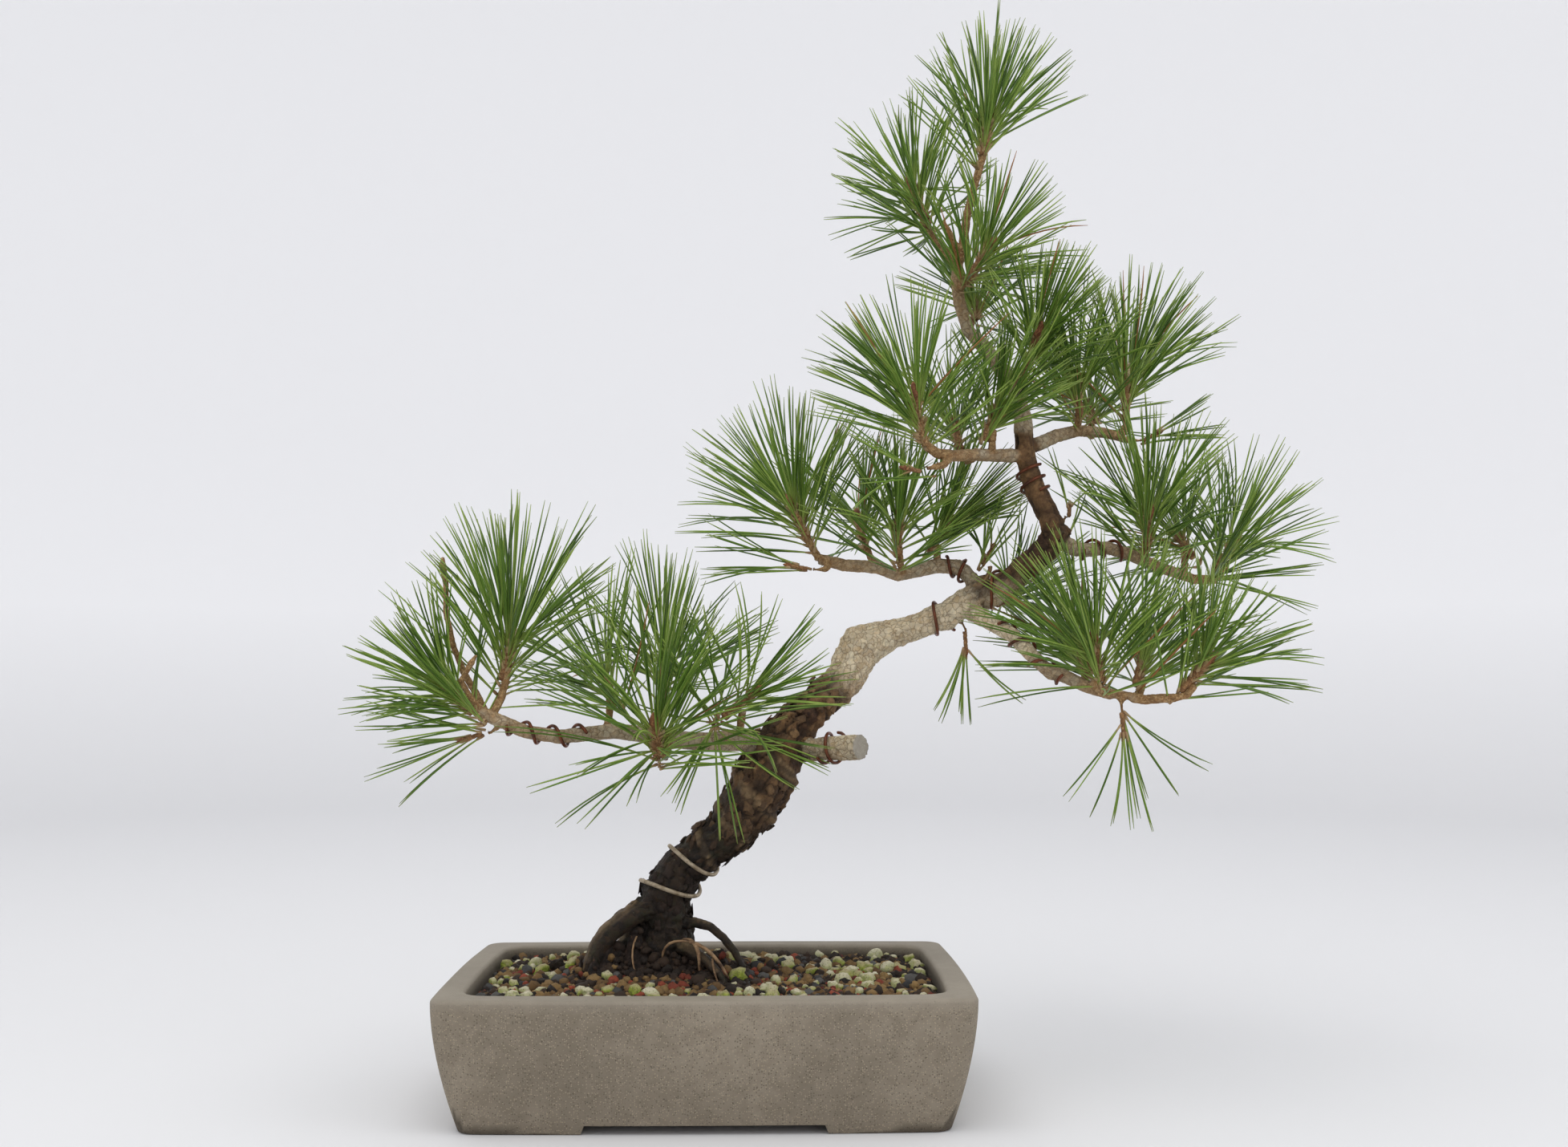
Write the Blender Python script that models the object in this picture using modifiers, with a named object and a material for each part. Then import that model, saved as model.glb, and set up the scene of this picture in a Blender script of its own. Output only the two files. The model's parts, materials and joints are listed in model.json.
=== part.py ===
"""Slanting pine bonsai in a rectangular unglazed stoneware pot.

Metres, +Z up. The pot is modelled about its own centre and stands on its four corner feet. The tree is
one grown solid. Its routes are measured from the trunk's foot, a point on the soil surface, so the tree
moves with the pot. At the end everything is shifted so that the middle of its outline is the origin.
"""

import math
import random

import bmesh
import bpy
from mathutils import Matrix, Vector

MM = 0.001

# Pot
POT_WIDTH = 305 * MM
POT_DEPTH = 190 * MM
POT_HEIGHT = 76 * MM
POT_CORNER = 9 * MM  # plan radius of the outer corners
SIDE_BOW = 2.6 * MM  # how far each side bulges at its middle
WALL_LEAN = 13.5 * MM  # how far the walls come in from rim to base
RIM_WIDTH = 16 * MM
INNER_CORNER = 14 * MM
FLOOR_THICKNESS = 9 * MM
INNER_LEAN = 8 * MM
ARRIS = 2.5 * MM
FOOT_HEIGHT = 5.5 * MM
FOOT_LENGTH = 69 * MM  # along the front, from the base's corner to the cut-out
FOOT_DEPTH = 42 * MM  # along the ends
FOOT_WALL = 14 * MM
CUT_SLOPE = 3 * MM  # how far each end of a cut-out slopes in
DRAIN_HOLE = 22 * MM
DRAIN_SPACING = 144 * MM

# Soil
SOIL_DROP = 6 * MM  # rim to soil surface
MOUND_HEIGHT = 8 * MM
MOUND_REACH = 45 * MM
GAP = 0.3 * MM  # left between pieces that touch

# Drainage fittings
SCREEN_SIDE = 30 * MM
SCREEN_THICKNESS = 1 * MM
SCREEN_CELLS = 5
SCREEN_BAR = 1.2 * MM
CLIP_WIRE = 1.6 * MM
CLIP_HOLD = 6 * MM  # how far each leg reaches past the drain hole's edge
TIE_WIRE = 2 * MM
TIE_OFFSET = SCREEN_SIDE / SCREEN_CELLS  # the tie wire passes one screen cell behind the clip
TIE_DEPTH = 8 * MM  # below the soil surface

# Tree
TRUNK_FOOT = Vector((-28 * MM, 15 * MM))
GIRTH = 1.0  # multiplies the radius of the trunk, branches and roots
SHOOT_RADIUS = 2.4 * MM
NEEDLE_LENGTH = 1.0  # multiplies every bunch's needle length
BUD_RADIUS = 4.2 * MM
BUD_STRETCH = 2.0
NEEDLE_CLEARANCE = 1.9 * MM
NEEDLE_FOOT = 0.34  # half thickness of a spike's foot, as a share of the bud's radius
SPARSE_FOOT = 0.62  # the same on a sparse bunch, whose bud has fewer and larger faces
NEEDLE_FLOOR = 12 * MM  # no spike ends lower than this above the soil

# Training wires
TRUNK_WIRE = 3 * MM
BRANCH_WIRE = 2.4 * MM
WIRE_GAP = 0.5 * MM
STEPS_PER_TURN = 10
LEAD_STEPS = 5
BESIDE = 0.006  # share of a route, on each side of a wire, over which the bark's thickness is looked at

# Routes of the wood, in millimetres from the trunk's foot: x, y, z, radius
TRUNK = [
    (1, 0, -16, 17),
    (1, 0, -4, 21),
    (0, 0, 9, 18.6),
    (0, -1, 31, 17.1),
    (0, -3, 50, 16.6),
    (10, -5, 65, 14.5),
    (24, -7, 77, 13.4),
    (37, -9, 88, 15),
    (50, -11, 102, 18),
    (60, -12, 118, 20),
    (67, -11, 134, 19),
    (80, -7, 154, 14.5),
    (95, -1, 169, 12),
    (112, 5, 183, 12),
    (124, 11, 205, 14.5),
    (141, 12, 213, 11),
    (161, 10, 219, 8.7),
    (179, 7, 225, 9),
    (192, 5, 233, 10.5),
    (211, -1, 241, 8.6),
    (225, -7, 253, 8.2),
    (240, -11, 266, 8.4),
    (247, -13, 276, 9.2),
    (241, -11, 290, 7.5),
    (234, -8, 305, 7),
    (230, -6, 319, 6.8),
    (228, -5, 331, 7),
    (228, -3, 352, 5.8),
    (222, -3, 373, 5.3),
    (211, -3, 388, 5),
    (203, -4, 398, 4.8),
    (193, -5, 408, 4.3),
    (187, -7, 426, 4),
    (185, -9, 440, 4),
    (186, -10, 450, 3.5),
    (189, -11, 463, 3),
    (192, -13, 484, 2.7),
    (197, -14, 503, 2.5),
    (202, -15, 520, 2.5),
]
BRANCHES = {
    "stub": [
        (70, -11, 138, 9),
        (88, -15, 140, 7.9),
        (106, -25, 141, 7.8),
        (120, -38, 142, 7.9),
    ],
    "low_left": [
        (64, -11, 144, 10),
        (47, -22, 146, 7.2),
        (25, -33, 145, 6),
        (-2, -41, 148, 5.3),
        (-29, -49, 152, 4.8),
        (-60, -59, 149, 4.4),
        (-79, -65, 152, 4.1),
        (-97, -71, 160, 4.1),
        (-107, -73, 165, 3.7),
    ],
    "spent_shoot": [
        (-103, -71, 163, 3.2),
        (-109, -63, 174, 2.4),
        (-117, -62, 187, 2.1),
        (-123, -65, 203, 1.9),
        (-127, -68, 222, 1.7),
        (-127, -70, 240, 1.7),
        (-129, -70, 250, 2.3),
        (-129, -70, 255, 0.8),
    ],
    "side_bud": [(-106, -73, 166, 2.2), (-114, -85, 182, 1.7), (-108, -87, 192, 2), (-105, -87, 197, 0.6)],
    "mid_left": [
        (192, 6, 233, 7),
        (198, 14, 243, 6),
        (197, 18, 250, 5.8),
        (188, 21, 257, 5.3),
        (175, 23, 258, 5),
        (161, 23, 255, 4.9),
        (149, 23, 252, 4.6),
        (135, 23, 257, 4.4),
        (114, 21, 258, 4.1),
        (97, 19, 262, 3.7),
    ],
    "low_right": [
        (190, 2, 229, 7),
        (203, -11, 220, 5.3),
        (217, -23, 210, 4.9),
        (226, -33, 198, 4.7),
        (236, -41, 187, 4.5),
        (242, -45, 186, 4.5),
        (255, -51, 179, 4),
        (270, -55, 174, 3.6),
        (288, -59, 171, 3.2),
        (306, -63, 172, 2.8),
    ],
    "right": [
        (246, -13, 274, 7),
        (258, -7, 267, 5.3),
        (267, -3, 266, 4.7),
        (282, 3, 268, 4.4),
        (296, 7, 265, 4.2),
        (309, 11, 260, 4),
        (324, 15, 255, 3.8),
        (343, 19, 249, 3.5),
        (356, 21, 249, 3),
    ],
    "high_left": [
        (229, -5, 327, 5.5),
        (212, -15, 325, 4.3),
        (194, -25, 324, 4),
        (178, -33, 322, 3.7),
        (168, -37, 323, 3.4),
        (161, -41, 327, 3),
    ],
    "high_right": [
        (227, -5, 331, 5.5),
        (240, 2, 336, 4.8),
        (252, 9, 342, 4.5),
        (268, 17, 347, 4),
        (287, 25, 347, 3.7),
        (298, 29, 345, 3.5),
        (304, 31, 353, 3),
    ],
    "leader_left": [(186, -10, 448, 3), (180, -11, 455, 2.5), (171, -13, 466, 2.3), (164, -14, 476, 2.3)],
    "leader_bud": [(187, -11, 457, 2.2), (182, -13, 466, 2.1), (178, -15, 473, 2.2), (176, -15, 477, 0.7)],
    "left_root": [
        (-5, -6, 44, 11),
        (-15, -14, 41, 7.8),
        (-25, -19, 35, 7),
        (-34, -21, 28, 6.5),
        (-40, -22, 20, 6),
        (-44, -24, 10, 5.4),
        (-47, -26, -2, 4),
        (-49, -28, -10, 3),
    ],
    "left_rear_root": [
        (-4, -2, 34, 9),
        (-18, -4, 26, 6.5),
        (-30, -6, 14, 5),
        (-40, -8, 2, 4),
        (-48, -10, -10, 2.6),
    ],
    "right_root": [
        (8, -6, 34, 7),
        (19, -12, 33, 3.4),
        (28, -16, 31, 2.9),
        (36, -19, 25, 2.7),
        (43, -21, 17, 2.6),
        (48, -23, 8, 2.2),
        (51, -25, -6, 1.6),
    ],
    "front_root": [
        (8, -12, 20, 7),
        (17, -22, 17, 4.2),
        (26, -31, 13, 3.4),
        (34, -38, 7, 2.6),
        (41, -43, -4, 1.8),
    ],
    "rear_right_root": [(4, 6, 0, 12), (20, 22, -8, 7), (40, 36, -22, 4)],
    "rear_left_root": [(-2, 6, 0, 12), (-16, 22, -8, 7), (-34, 36, -22, 4)],
    "deep_root": [(0, 0, -12, 14), (-8, -8, -26, 8), (-18, -22, -36, 4)],
}

# Bunches of needles: the branch that each grows from, how far along it, the place of its base in
# millimetres from the trunk's foot, the way it points, its spread in degrees, and its needles' length
BUNCHES = {
    "low_left_tip": ("low_left", 1.0, (-115, -79, 168), (-0.55, -0.2, 0.85), 76, 64),
    "low_left_trailing": ("low_left", 0.93, (-103, -62, 151), (-0.9, 0.1, -0.3), 36, 66),
    "low_left_upper": ("low_left", 0.95, (-91, -63, 190), (0.12, 0, 1), 72, 92),
    "low_left_front": ("low_left", 0.36, (-1, -63, 143), (-0.22, -0.4, 0.9), 100, 88),
    "low_left_middle": ("low_left", 0.42, (-2, -12, 182), (0, 0.35, 0.9), 74, 84),
    "low_left_inner": ("low_left", 0.12, (48, -46, 164), (0.1, -0.7, 0.7), 112, 74),
    "low_left_rear": ("low_left", 0.62, (-35, -22, 172), (-0.15, 0.3, 0.95), 72, 86),
    "mid_left_tip": ("mid_left", 1.0, (86, 15, 282), (-0.42, 0, 0.9), 64, 88),
    "mid_left_low": ("mid_left", 0.93, (92, 12, 255), (-0.9, -0.15, 0.15), 40, 70),
    "mid_left_front": ("mid_left", 0.55, (148, 4, 270), (-0.05, -0.3, 0.95), 74, 72),
    "mid_left_rear": ("mid_left", 0.68, (127, 47, 282), (-0.2, 0.45, 0.9), 68, 80),
    "mid_left_inner": ("mid_left", 0.36, (176, 23, 272), (0.3, 0.15, 0.93), 62, 72),
    "low_right_first": ("low_right", 0.66, (262, -58, 190), (-0.22, -0.2, 0.95), 82, 84),
    "low_right_middle": ("low_right", 0.82, (292, -41, 184), (0.05, 0.35, 0.93), 74, 84),
    "low_right_tip": ("low_right", 1.0, (317, -65, 180), (0.35, -0.1, 0.9), 76, 68),
    "low_right_under": ("low_right", 0.78, (276, -57, 161), (0.05, -0.1, -1), 58, 60),
    "low_right_rear": ("low_right", 0.6, (262, -15, 190), (-0.05, 0.5, 0.8), 72, 76),
    "right_first": ("right", 0.52, (310, 4, 274), (-0.05, -0.2, 1), 74, 82),
    "right_tip": ("right", 1.0, (366, 23, 261), (0.3, 0, 0.95), 94, 74),
    "right_rear": ("right", 0.72, (346, 50, 270), (0.05, 0.55, 0.85), 72, 78),
    "high_left_tip": ("high_left", 1.0, (157, -43, 342), (-0.18, -0.1, 0.97), 74, 78),
    "high_left_middle": ("high_left", 0.35, (205, -26, 340), (0.05, -0.25, 0.95), 68, 66),
    "high_left_low": ("high_left", 0.75, (160, -46, 312), (-0.8, -0.35, -0.1), 52, 60),
    "high_left_rear": ("high_left", 0.5, (188, 11, 338), (-0.1, 0.5, 0.85), 68, 72),
    "high_right_tip": ("high_right", 1.0, (304, 31, 371), (0.1, 0, 1), 64, 80),
    "high_right_middle": ("high_right", 0.5, (266, 5, 362), (-0.15, -0.3, 0.93), 68, 74),
    "high_right_low": ("high_right", 0.86, (316, 30, 344), (0.85, 0.1, 0.3), 48, 44),
    "high_right_rear": ("high_right", 0.62, (285, 55, 362), (0.05, 0.55, 0.85), 70, 70),
    "leader_low": ("trunk", 0.755, (228, -27, 386), (0.35, -0.45, 0.85), 72, 62),
    "leader_middle": ("trunk", 0.87, (195, -22, 444), (0.55, -0.2, 0.8), 92, 66),
    "leader_rear": ("trunk", 0.83, (200, 14, 424), (0.3, 0.6, 0.75), 72, 64),
    "leader_left_tip": ("leader_left", 1.0, (161, -15, 485), (-0.25, 0, 0.97), 94, 66),
    "leader_tip": ("trunk", 1.0, (204, -15, 528), (0.12, 0, 1), 64, 73),
    "fork_upper": ("mid_left", 0.1, (208, 16, 258), (0.1, 0.1, 1), 50, 54),
    "fork_rear": ("trunk", 0.492, (217, 33, 236), (0.6, 0.5, 0.12), 54, 76),
    "fork_lower": ("trunk", 0.44, (191, 6, 212), (0.1, 0.1, -1), 42, 46),
    "node_rear": ("trunk", 0.58, (258, 10, 290), (0.5, 0.35, 0.8), 52, 54),
}
SPARSE_BUNCHES = (
    "low_left_trailing",
    "mid_left_low",
    "low_right_under",
    "high_left_low",
    "high_right_low",
    "fork_lower",
    "node_rear",
)

# Training wires: the route that each winds round, where it starts and ends along it, its turns,
# the angle that it starts at in degrees, its hand, its diameter and, where it first runs straight
# along the bark, the share where that begins
WINDINGS = {
    "trunk_wire": ("trunk", 0.092, 0.159, 2.2, 180, 1, TRUNK_WIRE, 0.02),
    "low_left_wire": ("low_left", 0.64, 0.9, 3.0, 0, 1, BRANCH_WIRE),
    "stub_wire": ("stub", 0.5, 0.72, 1.7, 30, 1, BRANCH_WIRE),
    "fork_wire": ("trunk", 0.465, 0.484, 1.3, 180, -1, BRANCH_WIRE),
    "upper_trunk_wire": ("trunk", 0.525, 0.575, 1.1, 60, -1, BRANCH_WIRE),
    "high_trunk_wire": ("trunk", 0.655, 0.682, 2.2, 0, 1, BRANCH_WIRE),
    "mid_left_wire": ("mid_left", 0.2, 0.33, 1.8, 180, 1, BRANCH_WIRE),
    "low_right_wire": ("low_right", 0.2, 0.56, 3.0, 0, -1, BRANCH_WIRE),
    "right_wire": ("right", 0.16, 0.46, 2.4, 0, 1, BRANCH_WIRE),
}

# Loose pieces on the soil: width, depth and height in millimetres, and x, y from the pot's centre
LOOSE_PIECES = {
    "bark_chip_left": ((12, 7, 9), (-97, 22), 0.5, 11),
    "bark_chip_right": ((8, 6, 8), (-80, 20), 1.3, 12),
    "pumice_stone_1": ((9, 7, 7), (-112, -58), 0.2, 13),
    "pumice_stone_2": ((8, 9, 6), (-70, -50), 0.9, 14),
    "pumice_stone_3": ((10, 8, 7), (88, 10), 0.4, 15),
    "pumice_stone_4": ((8, 8, 6), (52, -52), 1.1, 16),
}

SOIL_LEVEL = POT_HEIGHT - SOIL_DROP
FLOOR_TOP = FOOT_HEIGHT + FLOOR_THICKNESS


def clear_scene():
    for obj in list(bpy.data.objects):
        bpy.data.objects.remove(obj)


def new_collection(name):
    made = bpy.data.collections.new(name)
    bpy.context.scene.collection.children.link(made)
    return made


def material(name, colour, roughness, metallic=0.0):
    made = bpy.data.materials.new(name)
    made.use_nodes = True
    shader = made.node_tree.nodes["Principled BSDF"]
    shader.inputs["Base Color"].default_value = (*colour, 1)
    shader.inputs["Roughness"].default_value = roughness
    shader.inputs["Metallic"].default_value = metallic
    return made


def mesh_object(name, bm, collection, look=None):
    mesh = bpy.data.meshes.new(name)
    bm.to_mesh(mesh)
    bm.free()
    if look:
        mesh.materials.append(look)
    mesh.shade_smooth()
    mesh.set_sharp_from_angle(angle=math.radians(40))
    obj = bpy.data.objects.new(name, mesh)
    collection.objects.link(obj)
    return obj


def as_cutter(obj):
    obj.hide_render = True
    obj.display_type = "WIRE"
    return obj


def boolean(obj, operation, collection):
    made = obj.modifiers.new(operation.title(), "BOOLEAN")
    made.operation = operation
    made.operand_type = "COLLECTION"
    made.collection = collection
    made.solver = "EXACT"


# Outlines and lofts


def outline(half_width, half_depth, corner, bow, corner_steps=4, side_steps=4):
    """A rounded rectangle whose sides bulge by bow at their middles, anticlockwise from the right."""
    points = []
    corners = [(1, -1, -90), (1, 1, 0), (-1, 1, 90), (-1, -1, 180)]
    for sx, sy, start in corners:
        centre = Vector((sx * (half_width - corner), sy * (half_depth - corner)))
        for i in range(corner_steps + 1):
            turn = math.radians(start + 90 * i / corner_steps)
            points.append(centre + corner * Vector((math.cos(turn), math.sin(turn))))
        following = corners[(corners.index((sx, sy, start)) + 1) % 4]
        next_turn = math.radians(following[2])
        next_centre = Vector((following[0] * (half_width - corner), following[1] * (half_depth - corner)))
        side_end = next_centre + corner * Vector((math.cos(next_turn), math.sin(next_turn)))
        side_start = points[-1]
        points += [side_start.lerp(side_end, i / side_steps) for i in range(1, side_steps)]
    return [
        Vector((
            p.x * (1 + bow / half_width * (1 - (p.y / half_depth) ** 2)),
            p.y * (1 + bow / half_depth * (1 - (p.x / half_width) ** 2)),
        ))
        for p in points
    ]


def ring(half_width, half_depth, corner, bow, z):
    return [Vector((p.x, p.y, z)) for p in outline(half_width, half_depth, corner, bow)]


def loft(name, rings, collection, look=None):
    """One closed solid through rings of equal counts, grown by extruding a cap from ring to ring."""
    bm = bmesh.new()
    bmesh.ops.create_circle(bm, cap_ends=True, segments=len(rings[0]), radius=1)
    cap = bm.faces[:][0]
    for corner, place in zip(cap.verts, rings[0]):
        corner.co = place
    base = cap
    for places in rings[1:]:
        grown = bmesh.ops.extrude_face_region(bm, geom=[cap])
        if cap is not base:
            bmesh.ops.delete(bm, geom=[cap], context="FACES_ONLY")
        cap = next(item for item in grown["geom"] if isinstance(item, bmesh.types.BMFace))
        for corner, place in zip(cap.verts, places):
            corner.co = place
    bmesh.ops.recalc_face_normals(bm, faces=bm.faces[:])
    return mesh_object(name, bm, collection, look)


# Routes and tubes


def spline_point(a, b, c, d, t):
    """The smooth curve from b to c, with a before and d after, at t from 0 to 1."""
    return 0.5 * (2 * b + (c - a) * t + (2 * a - 5 * b + 4 * c - d) * t**2 + (3 * b - a - 3 * c + d) * t**3)


def smooth_route(points, spacing):
    """Points about one spacing apart along a smooth curve through these 4D points."""
    padded = [2 * points[0] - points[1], *points, 2 * points[-1] - points[-2]]
    route = [points[0].copy()]
    for i in range(1, len(padded) - 2):
        length = (padded[i + 1].xyz - padded[i].xyz).length
        steps = max(1, round(length / spacing))
        route += [spline_point(*padded[i - 1 : i + 3], step / steps) for step in range(1, steps + 1)]
    return route


def from_foot(point):
    """A place in millimetres from the trunk's foot as a place in the pot's own frame."""
    return Vector((TRUNK_FOOT.x + point[0] * MM, TRUNK_FOOT.y + point[1] * MM, SOIL_LEVEL + point[2] * MM))


def wood_route(points, spacing=14 * MM):
    """The smooth route of a trunk, branch or root; w holds its radius."""
    placed = [Vector((*from_foot(p), p[3] * MM * GIRTH)) for p in points]
    return smooth_route(placed, spacing)


def tube(name, route, collection, look=None, sides=8, extra=0.0):
    """A closed round solid along a route, as a mesh; extra thickens it, for a cutter."""
    data = bpy.data.curves.new(name, "CURVE")
    data.dimensions = "3D"
    data.bevel_depth = 1
    data.bevel_resolution = (sides - 4) // 2
    data.use_fill_caps = True
    spline = data.splines.new("POLY")
    spline.points.add(len(route) - 1)
    for point, place in zip(spline.points, route):
        point.co = (*place.xyz, 1)
        point.radius = place.w + extra
    curve = bpy.data.objects.new(name + "_curve", data)
    bpy.context.scene.collection.objects.link(curve)
    bpy.context.view_layer.update()
    evaluated = curve.evaluated_get(bpy.context.evaluated_depsgraph_get())
    mesh = bpy.data.meshes.new_from_object(evaluated)
    bpy.data.objects.remove(curve)
    bm = bmesh.new()
    bm.from_mesh(mesh)
    bpy.data.meshes.remove(mesh)
    bmesh.ops.remove_doubles(bm, verts=bm.verts[:], dist=0.01 * MM)
    bmesh.ops.recalc_face_normals(bm, faces=bm.faces[:])
    return mesh_object(name, bm, collection, look)


def lengthened(route, by=3 * GAP):
    """The route with both ends moved on, so that a hollow is longer than what lies in it."""
    first = route[0] + (route[0] - route[1]).normalized() * by
    last = route[-1] + (route[-1] - route[-2]).normalized() * by
    return [Vector((*first.xyz, route[0].w)), *route[1:-1], Vector((*last.xyz, route[-1].w))]


def place_along(route, share):
    """The place and radius at this share of a route's length, and the way that it runs there."""
    lengths = [(b.xyz - a.xyz).length for a, b in zip(route, route[1:])]
    left = share * sum(lengths)
    for i, length in enumerate(lengths):
        if left <= length or i == len(lengths) - 1:
            way = (route[i + 1].xyz - route[i].xyz).normalized()
            return route[i].lerp(route[i + 1], min(left / length, 1)), way
        left -= length


def smooth_direction(route, share, reach=0.012):
    ahead, _ = place_along(route, min(share + reach, 1))
    behind, _ = place_along(route, max(share - reach, 0))
    return (ahead.xyz - behind.xyz).normalized()


def on_bark(route, share, turn, thickness):
    """A wire's centre where it lies on the bark. At turn 0 it is on the side that faces -Y."""
    place, _ = place_along(route, share)
    along = smooth_direction(route, share)
    front = (Vector((0, -1, 0)) - along * -along.y).normalized()
    side = along.cross(front)
    beside = [place_along(route, min(max(share + step, 0), 1))[0].w for step in (-BESIDE, BESIDE)]
    flat_sides = math.cos(math.pi / STEPS_PER_TURN)  # the wire's turns have this many straight sides
    reach = (max(place.w, *beside) + WIRE_GAP / 2 + thickness / 2) / flat_sides
    centre = place.xyz + reach * (math.cos(turn) * front + math.sin(turn) * side)
    return Vector((*centre, thickness / 2))


def winding(route, start, end, turns, angle, hand, thickness, lead=None):
    """A coil of wire on the bark, which may first run straight along it from the share named lead."""
    first = math.radians(angle)
    points = []
    if lead is not None:
        shares = [lead + (start - lead) * i / LEAD_STEPS for i in range(LEAD_STEPS)]
        points = [on_bark(route, share, first, thickness) for share in shares]
    steps = math.ceil(turns * STEPS_PER_TURN)
    for i in range(steps + 1):
        share = start + (end - start) * i / steps
        points.append(on_bark(route, share, first + hand * math.tau * turns * i / steps, thickness))
    return points


# Pot, soil and drainage fittings


def pot_profile():
    """Inset from the rim's edge and height, up the outside from the base to the rim."""
    points = [(WALL_LEAN + ARRIS * 0.6, 0.0), (WALL_LEAN, ARRIS * 0.6)]
    for share in (0.12, 0.25, 0.45, 0.7):
        points.append((WALL_LEAN * (1 - share) ** 1.7, share * POT_HEIGHT))
    points.append((0.0, POT_HEIGHT - ARRIS))
    points += [
        (ARRIS * (1 - math.cos(turn)), POT_HEIGHT - ARRIS * (1 - math.sin(turn)))
        for turn in (math.radians(45), math.radians(90))
    ]
    return points


def inner_ring(z, clearance=0.0):
    """The plan of the pot's inside at a height, less a clearance for what fits in it."""
    share = (z - FLOOR_TOP) / (POT_HEIGHT - FLOOR_TOP)
    inset = RIM_WIDTH + INNER_LEAN * (1 - share) + clearance
    return ring(POT_WIDTH / 2 - inset, POT_DEPTH / 2 - inset, INNER_CORNER, SIDE_BOW * 0.6, z)


def make_pot(collection, cutters, look):
    rings = []
    for inset, z in pot_profile():
        corner = max(POT_CORNER - inset * 0.3, 3 * MM)
        rings.append(ring(POT_WIDTH / 2 - inset, POT_DEPTH / 2 - inset, corner, SIDE_BOW, z))
    half_width = POT_WIDTH / 2 - RIM_WIDTH
    half_depth = POT_DEPTH / 2 - RIM_WIDTH
    bow = SIDE_BOW * 0.6
    rings.append(ring(half_width + ARRIS, half_depth + ARRIS, INNER_CORNER + ARRIS, bow, POT_HEIGHT))
    eased = ARRIS * (1 - math.sqrt(0.5))
    rings.append(ring(half_width + eased, half_depth + eased, INNER_CORNER, bow, POT_HEIGHT - eased))
    rings.append(inner_ring(POT_HEIGHT - ARRIS))
    rings.append(inner_ring(FLOOR_TOP + 6 * MM))
    rings.append(inner_ring(FLOOR_TOP, 4 * MM))
    pot = loft("pot", rings, collection, look)

    base_half_width = POT_WIDTH / 2 - WALL_LEAN
    base_half_depth = POT_DEPTH / 2 - WALL_LEAN
    cut_out("front_cut_out", base_half_width - FOOT_LENGTH, POT_DEPTH, False, cutters)
    cut_out("end_cut_out", base_half_depth - FOOT_DEPTH, POT_WIDTH, True, cutters)
    under = [
        ring(base_half_width - FOOT_WALL + flare, base_half_depth - FOOT_WALL + flare, 8 * MM, 0, z)
        for flare, z in ((1 * MM, -1 * MM), (0, FOOT_HEIGHT))
    ]
    as_cutter(loft("underside_recess", under, cutters))
    for side, x in (("left", -DRAIN_SPACING / 2), ("right", DRAIN_SPACING / 2)):
        bm = bmesh.new()
        bmesh.ops.create_cone(
            bm,
            cap_ends=True,
            segments=24,
            radius1=DRAIN_HOLE / 2,
            radius2=DRAIN_HOLE / 2,
            depth=4 * FLOOR_THICKNESS,
            matrix=Matrix.Translation((x, 0, FOOT_HEIGHT)),
        )
        as_cutter(mesh_object(side + "_drain_hole", bm, cutters))
    boolean(pot, "DIFFERENCE", cutters)
    return pot


def cut_out(name, half_length, run, along_x, cutters):
    """A trapezium bar that cuts the gap between two feet, right through the base."""
    bm = bmesh.new()
    bmesh.ops.create_cube(bm, size=1)
    for vert in bm.verts:
        top = vert.co.z > 0
        across = math.copysign(half_length - (CUT_SLOPE if top else 0), vert.co.x)
        through = math.copysign(run, vert.co.y)
        vert.co = Vector((across, through, FOOT_HEIGHT + 0.02 * MM if top else -FOOT_HEIGHT * 0.5))
        if along_x:
            vert.co.xy = Vector((-vert.co.y, vert.co.x))
    as_cutter(mesh_object(name, bm, cutters))


def ground_height(x, y):
    """The soil surface: nearly level, with a mound round the trunk."""
    distance = (Vector((x, y)) - TRUNK_FOOT).length
    return SOIL_LEVEL - 2 * MM + (MOUND_HEIGHT + 2 * MM) * math.exp(-((distance / MOUND_REACH) ** 2))


def make_soil(collection, cutters, look):
    rings = [inner_ring(FLOOR_TOP + GAP, 4 * MM + GAP), inner_ring(FLOOR_TOP + 6 * MM, GAP)]
    edge = inner_ring(SOIL_LEVEL - 3 * MM, GAP)
    rings.append(edge)
    for share in (0.85, 0.62, 0.4, 0.2, 0.02):
        spot = Vector((TRUNK_FOOT.x, TRUNK_FOOT.y, 0)) * (1 - share)
        places = [p * share + spot for p in edge]
        rings.append([Vector((p.x, p.y, ground_height(p.x, p.y))) for p in places])
    soil = loft("soil", rings, collection, look)
    boolean(soil, "DIFFERENCE", cutters)
    return soil


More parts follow.
